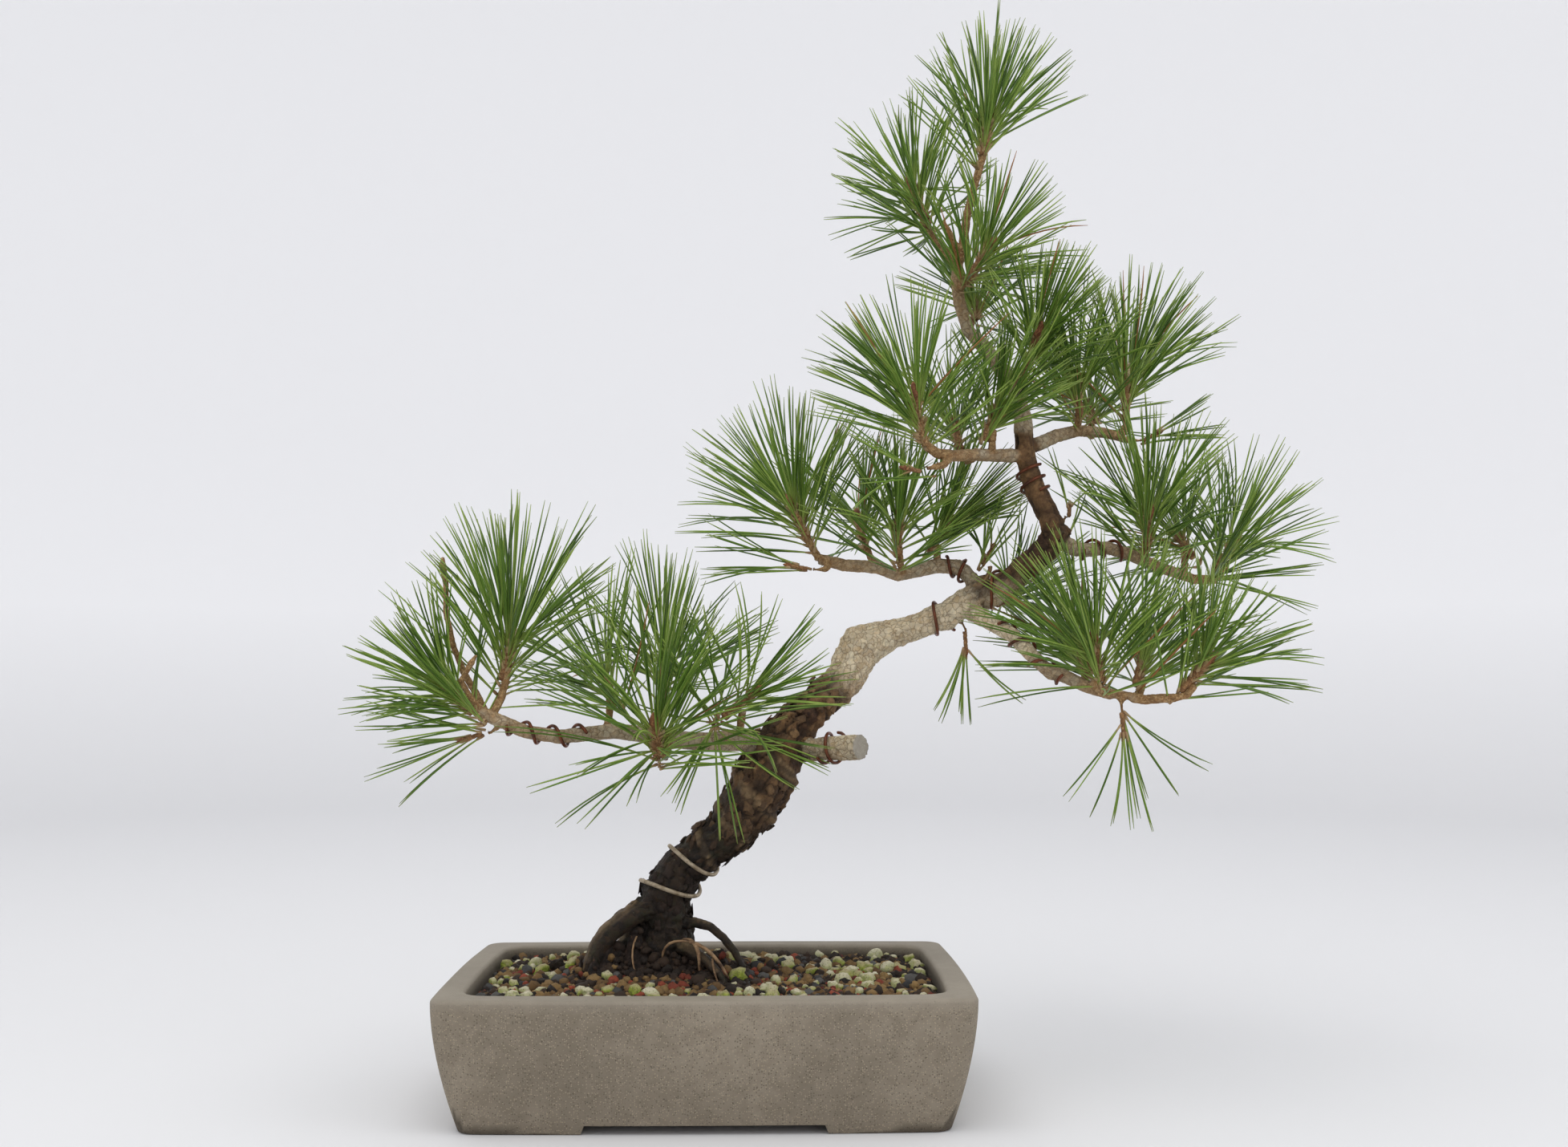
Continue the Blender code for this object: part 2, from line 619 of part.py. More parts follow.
def make_screen(side, x, collection, cutters, look):
    """A square of plastic mesh on the pot's floor, and the hollow that it leaves in the soil."""
    bm = bmesh.new()
    bmesh.ops.create_grid(bm, x_segments=SCREEN_CELLS, y_segments=SCREEN_CELLS, size=SCREEN_SIDE / 2)
    inset = bmesh.ops.inset_individual(bm, faces=bm.faces[:], thickness=SCREEN_BAR / 2)
    bars = set(inset["faces"])
    bmesh.ops.delete(bm, geom=[face for face in bm.faces if face not in bars], context="FACES")
    screen = mesh_object("drainage_screen_" + side, bm, collection, look)
    screen.location = (x, 0, FLOOR_TOP + GAP)
    thicken = screen.modifiers.new("Solidify", "SOLIDIFY")
    thicken.thickness = SCREEN_THICKNESS
    thicken.offset = 1
    bm = bmesh.new()
    bmesh.ops.create_cube(bm, size=1)
    hollow = as_cutter(mesh_object("screen_hollow_" + side, bm, cutters))
    top = SCREEN_THICKNESS + CLIP_WIRE + 4 * GAP
    hollow.scale = (SCREEN_SIDE + 2 * GAP, SCREEN_SIDE + 2 * GAP, 2 * top)
    hollow.location = (x, 0, FLOOR_TOP)
    return screen


def make_clip(side, x, collection, look):
    """A staple of wire over the screen, down through the drain hole, its legs bent out under the floor."""
    leg = SCREEN_SIDE / SCREEN_CELLS
    over = FLOOR_TOP + SCREEN_THICKNESS + 2 * GAP + CLIP_WIRE / 2
    under = FOOT_HEIGHT - GAP - CLIP_WIRE / 2
    reach = DRAIN_HOLE / 2 + CLIP_HOLD
    half = [
        (reach, under),
        (leg + CLIP_WIRE, under),
        (leg, under + CLIP_WIRE),
        (leg, over - CLIP_WIRE / 2),
        (leg - CLIP_WIRE / 2, over),
    ]
    path = half + [(-across, z) for across, z in reversed(half)]
    route = [Vector((x + across, 0, z, CLIP_WIRE / 2)) for across, z in path]
    return tube("screen_clip_" + side, route, collection, look)


def tie_route():
    """Under the pot from hole to hole, up through both, and over the root base from either side."""
    half = DRAIN_SPACING / 2
    low = FOOT_HEIGHT - GAP - TIE_WIRE / 2
    high = SOIL_LEVEL - TIE_DEPTH
    front = TRUNK_FOOT.y - 29 * MM
    points = [
        (TRUNK_FOOT.x - 4 * MM, front, high),
        (-half + 16 * MM, TIE_OFFSET * 0.5, high - 2 * MM),
        (-half + 3 * MM, TIE_OFFSET, high - 6 * MM),
        (-half, TIE_OFFSET, high - 12 * MM),
        (-half, TIE_OFFSET, low + 4 * MM),
        (-half + 3 * MM, TIE_OFFSET, low),
        (half - 3 * MM, TIE_OFFSET, low),
        (half, TIE_OFFSET, low + 4 * MM),
        (half, TIE_OFFSET, high - 12 * MM),
        (half - 3 * MM, TIE_OFFSET, high - 6 * MM),
        (half - 16 * MM, TIE_OFFSET * 0.5, high - 2 * MM),
        (TRUNK_FOOT.x + 4 * MM, front, high),
    ]
    return [Vector((*point, TIE_WIRE / 2)) for point in points]


# Tree, needles and training wires


def limb_sides(route):
    return 10 if route[0].w > 8 * MM * GIRTH else 8


def make_tree(collection, limbs, roots, routes, shoots, look):
    """The wood: every limb is a tapered tube, joined to the trunk by one union."""
    tree = tube("tree", routes["trunk"], collection, look, sides=12)
    for name, route in routes.items():
        if name != "trunk":
            as_cutter(tube("limb_" + name, route, limbs, sides=limb_sides(route)))
    for name, route in shoots.items():
        as_cutter(tube("shoot_" + name, route, limbs, sides=6))
    boolean(tree, "UNION", limbs)
    foot = [place for place in routes["trunk"] if place.z < SOIL_LEVEL + 30 * MM]
    as_cutter(tube("hollow_trunk", lengthened(foot), roots, sides=12, extra=2 * GAP))
    for name, route in routes.items():
        if name.endswith("root"):
            sides = limb_sides(route)
            as_cutter(tube("hollow_" + name, lengthened(route), roots, sides=sides, extra=2 * GAP))
    return tree


def shoot_route(bunch, routes):
    """From inside its branch to just under its bunch's bud, turning to the way that the bunch points."""
    limb, share, base, way, _, _ = bunch
    start, _ = place_along(routes[limb], share)
    way = Vector(way).normalized()
    end = from_foot(base)
    length = (end - start.xyz).length
    bend = end - way * length * 0.45
    thick = min(SHOOT_RADIUS * 1.1, start.w * 0.9)
    marks = [start.xyz, start.xyz.lerp(bend, 0.75), end - way * min(length * 0.2, 4 * MM), end]
    points = [Vector((*mark, thick + (SHOOT_RADIUS - thick) * i / 3)) for i, mark in enumerate(marks)]
    return smooth_route(points, 9 * MM)


def segment_gap(a, b, starts, ends):
    """The least distance from segment ab to each segment of two lists, less that segment's radius."""
    found = []
    for (c, radius), d in zip(starts, ends):
        u, v, w = b - a, d - c, a - c
        uu, uv, vv, uw, vw = u.dot(u), u.dot(v), v.dot(v), u.dot(w), v.dot(w)
        det = uu * vv - uv * uv
        s = min(max((uv * vw - vv * uw) / det, 0), 1) if det > 1e-14 else 0.0
        t = min(max((uv * s + vw) / vv, 0), 1) if vv > 1e-14 else 0.0
        s = min(max((uv * t - uw) / uu, 0), 1)
        found.append(((a + u * s) - (c + v * t)).length - radius)
    return min(found, default=1.0)


class Obstacles:
    """Straight pieces with a radius, kept in cells so that only near ones are measured."""

    CELL = 25 * MM

    def __init__(self):
        self.cells = {}

    def keys(self, a, b, radius):
        steps = max(1, math.ceil((b - a).length / (self.CELL / 2)))
        near = set()
        for i in range(steps + 1):
            place = a.lerp(b, i / steps)
            low = [math.floor((value - radius) / self.CELL - 0.5) for value in place]
            high = [math.floor((value + radius) / self.CELL + 0.5) for value in place]
            for x in range(low[0], high[0] + 1):
                for y in range(low[1], high[1] + 1):
                    near.update((x, y, z) for z in range(low[2], high[2] + 1))
        return near

    def add(self, a, b, radius, owner):
        for key in self.keys(a, b, radius):
            self.cells.setdefault(key, []).append((a, b, radius, owner))

    def clear(self, a, b, owner, room):
        found = set()
        for key in self.keys(a, b, 0):
            found.update(
                (tuple(c), tuple(d), radius)
                for c, d, radius, other in self.cells.get(key, ())
                if other != owner
            )
        starts = [(Vector(c), radius) for c, _, radius in found]
        ends = [Vector(d) for _, d, _ in found]
        return segment_gap(a, b, starts, ends) > room


def needle_ways(bm, spread, steepest=2.35):
    """The bud's faces that carry a needle, each with the way that the needle points along +Z."""
    for face in bm.faces[:]:
        polar = face.normal.angle(Vector((0, 0, 1)), 0)
        if polar > steepest:
            continue
        flat = Vector((face.normal.x, face.normal.y, 0))
        flat = flat.normalized() if flat.length > 1e-6 else Vector((1, 0, 0))
        polar *= math.radians(spread) / steepest
        yield face, Vector((0, 0, 1)) * math.cos(polar) + flat * math.sin(polar)


def make_bunch(name, bunch, obstacles, collection, look):
    """A bud whose faces are poked out into spikes of needles, leaving out any that would meet something."""
    _, _, base, way, spread, length = bunch
    way = Vector(way).normalized()
    chance = random.Random(name)
    bm = bmesh.new()
    sparse = name in SPARSE_BUNCHES
    bmesh.ops.create_icosphere(bm, subdivisions=1 if sparse else 2, radius=1)
    directions = list(needle_ways(bm, spread))
    half_length = BUD_RADIUS * BUD_STRETCH
    for vert in bm.verts:
        vert.co = Vector((vert.co.x * BUD_RADIUS, vert.co.y * BUD_RADIUS, vert.co.z * half_length))
    turn = way.to_track_quat("Z", "Y").to_matrix().to_4x4()
    middle = from_foot(base) + way * (half_length + GAP)
    place = Matrix.Translation(middle) @ turn
    foot = BUD_RADIUS * (SPARSE_FOOT if sparse else NEEDLE_FOOT)
    for face, direction in directions:
        root = face.calc_center_median()
        reach = length * MM * NEEDLE_LENGTH * chance.uniform(0.86, 1.0)
        stray = 0.03 * Vector([chance.uniform(-1, 1) for _ in range(3)])
        tip = root + (direction + stray).normalized() * reach
        start, end = place @ root, place @ tip
        if end.z < SOIL_LEVEL + NEEDLE_FLOOR:
            continue
        if not obstacles.clear(start, end, name, NEEDLE_CLEARANCE + foot / 2):
            continue
        obstacles.add(start, end, 0.0, name)
        poked = bmesh.ops.poke(bm, faces=[face])
        poked["verts"][0].co = tip
    bmesh.ops.transform(bm, matrix=place, verts=bm.verts)
    bmesh.ops.recalc_face_normals(bm, faces=bm.faces[:])
    return mesh_object("needles_" + name, bm, collection, look)


def make_loose_piece(name, collection, look):
    """A rough pebble or chip: a small faceted ball, squashed and dented, resting on the soil."""
    size, (x, y), turn, seed = LOOSE_PIECES[name]
    chance = random.Random(seed)
    bm = bmesh.new()
    bmesh.ops.create_icosphere(bm, subdivisions=2, radius=0.5)
    for vert in bm.verts:
        vert.co *= chance.uniform(0.82, 1.0)
        vert.co = Vector(value * side * MM for value, side in zip(vert.co, size))
    lowest = min(vert.co.z for vert in bm.verts)
    reach = max(size) * MM / 2
    around = [(x * MM + dx * reach, y * MM + dy * reach) for dx in (-1, 0, 1) for dy in (-1, 0, 1)]
    rest = max(ground_height(*spot) for spot in around) + GAP - lowest
    spin = Matrix.Translation((x * MM, y * MM, rest)) @ Matrix.Rotation(turn, 4, "Z")
    bmesh.ops.transform(bm, matrix=spin, verts=bm.verts)
    return mesh_object(name, bm, collection, look)


def centre_on_origin(collections):
    """Parents everything to one empty and moves that so the outline's middle is over the origin."""
    empty = bpy.data.objects.new("bonsai_frame", None)
    collections[0].objects.link(empty)
    bpy.context.view_layer.update()
    graph = bpy.context.evaluated_depsgraph_get()
    places = []
    for obj in collections[0].objects:
        if obj.type == "MESH":
            evaluated = obj.evaluated_get(graph)
            places += [obj.matrix_world @ Vector(corner) for corner in evaluated.bound_box]
    middle = [(min(p[i] for p in places) + max(p[i] for p in places)) / 2 for i in (0, 1)]
    for collection in collections:
        for obj in collection.objects:
            if obj is not empty:
                obj.parent = empty
    empty.location = (-middle[0], -middle[1], 0)


def main():
    clear_scene()
    parts = new_collection("pine_bonsai_in_pot")
    pot_cutters = new_collection("pot_cutters")
    soil_cutters = new_collection("soil_cutters")
    limbs = new_collection("limbs")

    stoneware = material("stoneware", (0.27, 0.24, 0.21), 0.85)
    earth = material("soil", (0.06, 0.04, 0.03), 0.95)
    bark = material("bark", (0.2, 0.14, 0.09), 0.9)
    needle = material("needle", (0.1, 0.2, 0.06), 0.5)
    pale_wire = material("pale_wire", (0.55, 0.46, 0.36), 0.5, 1.0)
    brown_wire = material("brown_wire", (0.19, 0.08, 0.045), 0.45, 1.0)
    plastic = material("plastic_mesh", (0.02, 0.02, 0.02), 0.6)
    pumice = material("pumice", (0.6, 0.6, 0.42), 0.9)
    chip = material("bark_chip", (0.06, 0.04, 0.03), 0.9)

    make_pot(parts, pot_cutters, stoneware)
    for side, x in (("left", -DRAIN_SPACING / 2), ("right", DRAIN_SPACING / 2)):
        make_screen(side, x, parts, soil_cutters, plastic)
        make_clip(side, x, parts, pale_wire)
    tube("tie_down_wire", tie_route(), parts, pale_wire)
    as_cutter(tube("tie_hollow", tie_route(), soil_cutters, extra=2 * GAP))

    routes = {"trunk": wood_route(TRUNK, 15 * MM)}
    routes.update((name, wood_route(points)) for name, points in BRANCHES.items())
    shoots = {name: shoot_route(bunch, routes) for name, bunch in BUNCHES.items()}
    make_tree(parts, limbs, soil_cutters, routes, shoots, bark)
    make_soil(parts, soil_cutters, earth)

    obstacles = Obstacles()
    for name, route in [*routes.items(), *shoots.items()]:
        for a, b in zip(route, route[1:]):
            obstacles.add(a.xyz, b.xyz, max(a.w, b.w), name)
    for name, (limb, *shape) in WINDINGS.items():
        route = winding(routes[limb], *shape)
        look = pale_wire if name == "trunk_wire" else brown_wire
        tube(name, route, parts, look, sides=6)
        if min(point.z for point in route) < SOIL_LEVEL + MOUND_HEIGHT:
            as_cutter(tube(name + "_hollow", lengthened(route), soil_cutters, sides=6, extra=2 * GAP))
        for a, b in zip(route, route[1:]):
            obstacles.add(a.xyz, b.xyz, a.w, name)
    for name, (_, _, base, way, _, _) in BUNCHES.items():
        start = from_foot(base)
        length = 2 * BUD_RADIUS * BUD_STRETCH
        obstacles.add(start, start + Vector(way).normalized() * length, BUD_RADIUS, name)
    for name, bunch in BUNCHES.items():
        make_bunch(name, bunch, obstacles, parts, needle)
    for name in LOOSE_PIECES:
        make_loose_piece(name, parts, chip if name.startswith("bark") else pumice)
    centre_on_origin([parts, pot_cutters, soil_cutters, limbs])


main()
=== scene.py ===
# %% [markdown]
# # A slanting pine bonsai in a stoneware pot
# This file dresses a measured model with everything that the eye looks for: bark, needles, grains of
# soil and fired clay. The model gives the places and sizes, and nothing here moves or resizes it. It
# could all be one big function, but small cells let each step be read, run and looked at on its own.

import json
import math
import random

import bpy
import numpy as np
from mathutils import Matrix, Vector, noise
from mathutils.bvhtree import BVHTree

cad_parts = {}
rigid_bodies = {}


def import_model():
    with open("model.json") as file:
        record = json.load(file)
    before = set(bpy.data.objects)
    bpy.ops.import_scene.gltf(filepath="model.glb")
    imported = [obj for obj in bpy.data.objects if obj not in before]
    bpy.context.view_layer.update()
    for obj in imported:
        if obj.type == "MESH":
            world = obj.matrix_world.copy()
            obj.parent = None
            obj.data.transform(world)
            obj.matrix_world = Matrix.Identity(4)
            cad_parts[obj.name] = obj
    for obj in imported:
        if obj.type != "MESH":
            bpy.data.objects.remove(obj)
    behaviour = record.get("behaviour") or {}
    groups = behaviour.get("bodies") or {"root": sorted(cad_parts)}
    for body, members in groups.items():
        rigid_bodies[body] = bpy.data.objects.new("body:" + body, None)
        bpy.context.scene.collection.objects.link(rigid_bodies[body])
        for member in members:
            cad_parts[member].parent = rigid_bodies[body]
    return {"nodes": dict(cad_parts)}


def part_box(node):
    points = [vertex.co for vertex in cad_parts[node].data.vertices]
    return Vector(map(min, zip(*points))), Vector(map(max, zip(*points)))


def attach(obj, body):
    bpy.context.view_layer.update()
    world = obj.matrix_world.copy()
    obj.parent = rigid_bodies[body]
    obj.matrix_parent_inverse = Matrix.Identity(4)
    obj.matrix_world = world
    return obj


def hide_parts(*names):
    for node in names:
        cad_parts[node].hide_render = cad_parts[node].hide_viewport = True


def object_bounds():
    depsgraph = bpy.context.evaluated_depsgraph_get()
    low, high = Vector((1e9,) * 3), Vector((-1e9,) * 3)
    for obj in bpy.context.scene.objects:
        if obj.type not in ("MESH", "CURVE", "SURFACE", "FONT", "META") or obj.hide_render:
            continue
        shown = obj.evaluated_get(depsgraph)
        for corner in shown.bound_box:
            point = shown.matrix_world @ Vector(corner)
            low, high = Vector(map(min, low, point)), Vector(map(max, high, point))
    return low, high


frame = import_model()
CAD_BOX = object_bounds()
print("nodes:", len(frame["nodes"]), "box:", [[round(v, 4) for v in corner] for corner in CAD_BOX])

# %% Landmarks
MM = 0.001
NOISE_SEED = 7  # without a seed, vector noise takes its offsets from the clock, and each run differs
noise.seed_set(NOISE_SEED)
POT_LOW, POT_HIGH = (Vector(corner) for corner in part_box("pot"))
POT_CENTRE = Vector(((POT_LOW.x + POT_HIGH.x) / 2, (POT_LOW.y + POT_HIGH.y) / 2, 0))
SOIL_LEVEL = POT_HIGH.z - 6 * MM
TRUNK_FOOT = POT_CENTRE + Vector((-28 * MM, 15 * MM, SOIL_LEVEL))


def from_foot(x, y, z):
    """A point given in millimetres from the trunk's foot."""
    return TRUNK_FOOT + Vector((x, y, z)) * MM


print("pot centre", POT_CENTRE[:2], "soil at", round(SOIL_LEVEL, 4))

# %% [markdown]
# ## Camera
# The tree is seen from the front, a little above the rim of its pot, with a moderately wide lens. The
# camera looks up by a few degrees, so that the tip of the tree and the feet of the pot both fit.

# %% Camera
EYE = POT_CENTRE + Vector((29.7, -926.1, 247.5)) * MM
LOOK_UP = 0.0779  # radians above level
LOOK_LEFT = -0.0171
LENS = 33.86  # millimetres, on a sensor 36 mm wide

bpy.ops.object.camera_add(location=EYE)
camera = bpy.context.object
camera.name = "camera"
sight = Vector(
    (
        -math.sin(LOOK_LEFT) * math.cos(LOOK_UP),
        math.cos(LOOK_LEFT) * math.cos(LOOK_UP),
        math.sin(LOOK_UP),
    )
)
camera.rotation_euler = sight.to_track_quat("-Z", "Y").to_euler()
camera.data.lens = LENS
camera.data.sensor_width = 36
camera.data.clip_start = 0.01
bpy.context.scene.camera = camera
print("camera at", [round(v, 3) for v in EYE])

# %% [markdown]
# ## Materials: small tools
# A finish is a network of nodes. Wiring each node by hand takes four lines, so short helpers do it: they
# put a node in and wire or set its inputs, mix two colours, reckon with numbers, and hand the result to
# the shader.

# %% Helpers that put nodes in
def paint(code):
    """A colour from its six-digit screen code, as the linear values that shaders work in."""
    parts = [int(code[i : i + 2], 16) / 255 for i in (0, 2, 4)]
    return (*[v / 12.92 if v <= 0.04045 else ((v + 0.055) / 1.055) ** 2.4 for v in parts], 1)


def put(tree, kind, settings=None, **inputs):
    """A new node, with its settings, and each input either wired or set."""
    node = tree.nodes.new("ShaderNode" + kind)
    for name, value in (settings or {}).items():
        setattr(node, name, value)
    for name, value in inputs.items():
        wire(tree, node.inputs[name.replace("_", " ")], value)
    return node


def wire(tree, socket, value):
    if isinstance(value, bpy.types.NodeSocket):
        tree.links.new(value, socket)
    else:
        socket.default_value = value


def mixed(tree, share, first, second):
    """Two colours mixed by share."""
    node = tree.nodes.new("ShaderNodeMix")
    node.data_type = "RGBA"
    for index, value in ((0, share), (6, first), (7, second)):
        wire(tree, node.inputs[index], value)
    return node.outputs[2]


def reckoned(tree, sum_kind, first, second):
    """A Math node on two numbers."""
    node = tree.nodes.new("ShaderNodeMath")
    node.operation = sum_kind
    wire(tree, node.inputs[0], first)
    wire(tree, node.inputs[1], second)
    return node.outputs[0]


def stretched(tree, value, low, high, new_low=0.0, new_high=1.0):
    """A number moved from one range to another, and held inside it."""
    node = put(tree, "MapRange", Value=value, From_Min=low, From_Max=high, To_Min=new_low, To_Max=new_high)
    return node.outputs["Result"]


def product(tree, *factors):
    """Two or more numbers multiplied, from the left."""
    result = factors[0]
    for factor in factors[1:]:
        result = reckoned(tree, "MULTIPLY", result, factor)
    return result


def stained(tree, colour, share, strength, code):
    """A colour under a stain, which is as strong as the share times the strength."""
    return mixed(tree, product(tree, share, strength), colour, paint(code))


def surface(tree, shader, colour, roughness):
    wire(tree, shader.inputs["Base Color"], colour)
    wire(tree, shader.inputs["Roughness"], roughness)


def new_material(name):
    look = bpy.data.materials.new(name)
    look.use_nodes = True
    tree = look.node_tree
    shader = tree.nodes["Principled BSDF"]
    place = put(tree, "TexCoord").outputs["Object"]
    return look, tree, shader, place


def attribute(tree, name):
    """A number painted on the mesh's points."""
    return put(tree, "Attribute", {"attribute_name": name}).outputs["Fac"]


print("helpers ready, sample colour", [round(v, 3) for v in paint("8a8070")])

# %% [markdown]
# ## Studio
# A plain pale floor runs up into a wall all round, like an infinity cove, so there is no horizon from
# any side. It could be a flat plane and a backdrop, but a bowl looks the same from behind. Its wall glows
# faintly, as a lit backdrop does, and its floor doesn't. The light is soft: a pale sky, one big panel
# above and in front, and a weaker one on the right.

# %% Floor that curves up all round
COVE_RADIUS = 3.2  # metres, as are the next two
COVE_BEND = 0.9
COVE_HEIGHT = 3.6
COVE_STEPS = 10
COVE_CENTRE = (POT_CENTRE.x, POT_CENTRE.y, 0)
BACKDROP_COLOUR = (0.77, 0.77, 0.78, 1)
GLOW_COLOUR = (0.97, 0.97, 1.0, 1)
GLOW = 0.17
GLOW_TOP = 0.45  # metres above the floor, where the glow is full


def clear_selection():
    if bpy.context.object and bpy.context.object.mode != "OBJECT":
        bpy.ops.object.mode_set(mode="OBJECT")
    bpy.ops.object.select_all(action="DESELECT")


clear_selection()
bpy.ops.mesh.primitive_circle_add(
    vertices=96, radius=COVE_RADIUS - COVE_BEND, fill_type="NGON", location=COVE_CENTRE
)
cove = bpy.context.object
cove.name = "floor"
bpy.ops.object.mode_set(mode="EDIT")
bpy.ops.mesh.select_all(action="SELECT")
reach, height = COVE_RADIUS - COVE_BEND, 0.0
for step in range(1, COVE_STEPS + 1):
    turn = math.pi / 2 * step / COVE_STEPS
    next_reach = COVE_RADIUS - COVE_BEND + COVE_BEND * math.sin(turn)
    next_height = COVE_BEND * (1 - math.cos(turn))
    bpy.ops.mesh.region_to_loop()
    bpy.ops.mesh.extrude_edges_move(TRANSFORM_OT_translate={"value": (0, 0, next_height - height)})
    bpy.ops.transform.resize(value=(next_reach / reach, next_reach / reach, 1), center_override=COVE_CENTRE)
    reach, height = next_reach, next_height
bpy.ops.mesh.extrude_edges_move(TRANSFORM_OT_translate={"value": (0, 0, COVE_HEIGHT - height)})
bpy.ops.object.mode_set(mode="OBJECT")
bpy.ops.object.shade_smooth()


def backdrop_material():
    look, tree, shader, place = new_material("pale_backdrop")
    height = put(tree, "SeparateXYZ", Vector=place).outputs["Z"]
    surface(tree, shader, BACKDROP_COLOUR, 1.0)
    shader.inputs["Emission Color"].default_value = GLOW_COLOUR
    wire(tree, shader.inputs["Emission Strength"], stretched(tree, height, 0.0, GLOW_TOP, 0.0, GLOW))
    return look


cove.data.materials.append(backdrop_material())
print("cove", [round(v, 2) for v in cove.dimensions])

# %% Soft light
def light_panel(name, place, aim, size, watts, colour):
    bpy.ops.object.light_add(type="AREA", location=place)
    panel = bpy.context.object
    panel.name = name
    panel.data.shape = "RECTANGLE"
    panel.data.size, panel.data.size_y = size
    panel.data.energy = watts
    panel.data.color = colour
    panel.rotation_euler = (aim - Vector(place)).to_track_quat("-Z", "Y").to_euler()


TREE_MIDDLE = Vector((CAD_BOX[0][0] + CAD_BOX[1][0], CAD_BOX[0][1] + CAD_BOX[1][1], CAD_BOX[1][2])) / 2
PANELS = {  # place and size in metres, watts and colour
    "overhead_panel": ((-0.35, -0.7, 2.1), (2.2, 1.6), 19, (1, 0.99, 0.97)),
    "side_panel": ((1.7, -0.9, 1.2), (1.2, 1.4), 5, (0.97, 0.98, 1)),
}
for name, (place, size, watts, colour) in PANELS.items():
    light_panel(name, place, TREE_MIDDLE, size, watts, colour)
SKY_COLOUR = (0.93, 0.94, 0.96, 1)
SKY_STRENGTH = 0.85
world = bpy.data.worlds.new("pale_studio")
world.use_nodes = True
world.node_tree.nodes["Background"].inputs["Color"].default_value = SKY_COLOUR
world.node_tree.nodes["Background"].inputs["Strength"].default_value = SKY_STRENGTH
bpy.context.scene.world = world
bpy.context.scene.view_settings.view_transform = "Standard"

# %% [markdown]
# ## Materials: shared effects
# Three effects come back on clay, stone, wood and leaves, so each is a node group with its own named
# inputs, made once. `patches` gives soft areas of change, `flecks` gives small separate dots, and
# `roughened` turns a fine noise into a bumped normal.

# %% Node groups
def new_group(name, numbers, result):
    """A group that takes a place and some numbers, and gives one result."""
    tree = bpy.data.node_groups.new(name, "ShaderNodeTree")
    tree.interface.new_socket("Place", in_out="INPUT", socket_type="NodeSocketVector")
    for label, value in numbers.items():
        socket = tree.interface.new_socket(label, in_out="INPUT", socket_type="NodeSocketFloat")
        socket.default_value = value
    kind = "NodeSocketVector" if result == "Normal" else "NodeSocketFloat"
    tree.interface.new_socket(result, in_out="OUTPUT", socket_type=kind)
    return tree, tree.nodes.new("NodeGroupInput").outputs, tree.nodes.new("NodeGroupOutput").inputs


def make_patches():
    tree, given, result = new_group("patches", {"Scale": 20.0, "Level": 0.5, "Softness": 0.1}, "Mask")
    cloud = put(tree, "TexNoise", Vector=given["Place"], Scale=given["Scale"], Detail=5.0, Roughness=0.6)
    low = reckoned(tree, "SUBTRACT", given["Level"], given["Softness"])
    high = reckoned(tree, "ADD", given["Level"], given["Softness"])
    wire(tree, result["Mask"], stretched(tree, cloud.outputs["Fac"], low, high))
    return tree


def make_flecks():
    tree, given, result = new_group("flecks", {"Scale": 500.0, "Size": 0.25, "Share": 0.5}, "Mask")
    cells = put(tree, "TexVoronoi", Vector=given["Place"], Scale=given["Scale"])
    dot = stretched(tree, cells.outputs["Distance"], given["Size"], product(tree, given["Size"], 0.6))
    chance = put(tree, "SeparateColor", Color=cells.outputs["Color"]).outputs["Red"]
    chosen = reckoned(tree, "LESS_THAN", chance, given["Share"])
    wire(tree, result["Mask"], product(tree, dot, chosen))
    return tree


def make_roughened():
    numbers = {"Scale": 900.0, "Strength": 0.3, "Depth": 0.0003}
    tree, given, result = new_group("roughened", numbers, "Normal")
    grain = put(tree, "TexNoise", Vector=given["Place"], Scale=given["Scale"], Detail=6.0, Roughness=0.65)
    height = grain.outputs["Fac"]
    bump = put(tree, "Bump", Height=height, Strength=given["Strength"], Distance=given["Depth"])
    wire(tree, result["Normal"], bump.outputs["Normal"])
    return tree


PATCHES, FLECKS, ROUGHENED = make_patches(), make_flecks(), make_roughened()


def effect(tree, group, place, **numbers):
    """A shared effect placed in a material with its own values."""
    node = tree.nodes.new("ShaderNodeGroup")
    node.node_tree = group
    wire(tree, node.inputs["Place"], place)
    for name, value in numbers.items():
        wire(tree, node.inputs[name], value)
    return node.outputs[0]


def patches(tree, place, scale, level, softness):
    return effect(tree, PATCHES, place, Scale=scale, Level=level, Softness=softness)


def flecks(tree, place, scale, size, share):
    return effect(tree, FLECKS, place, Scale=scale, Size=size, Share=share)


def roughen(tree, shader, place, scale, strength, depth):
    """Bumps a shader's normal with fine noise."""
    bumped = effect(tree, ROUGHENED, place, Scale=scale, Strength=strength, Depth=depth)
    wire(tree, shader.inputs["Normal"], bumped)


print("groups:", [group.name for group in bpy.data.node_groups])

# %% [markdown]
# ## Handing a piece over
# Every finished piece sits at the origin with its place in its mesh, has one material, rides on the
# one body, and hides the measured solids that it stands for.

# %% Finish helpers
def hand_over(piece, look, slot, *nodes):
    piece.data.materials.clear()
    piece.data.materials.append(look)
    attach(piece, "root")
    if nodes:
        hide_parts(*nodes)
    piece.data.calc_loop_triangles()
    print(f"{piece.name}: {len(piece.data.loop_triangles)} triangles")
    return piece


def pick(piece):
    """Leaves one piece selected and active."""
    clear_selection()
    piece.select_set(True)
    bpy.context.view_layer.objects.active = piece


def settle(piece):
    """Moves the object's place, turn and size into its mesh."""
    pick(piece)
    bpy.ops.object.transform_apply(location=True, rotation=True, scale=True)
    return piece


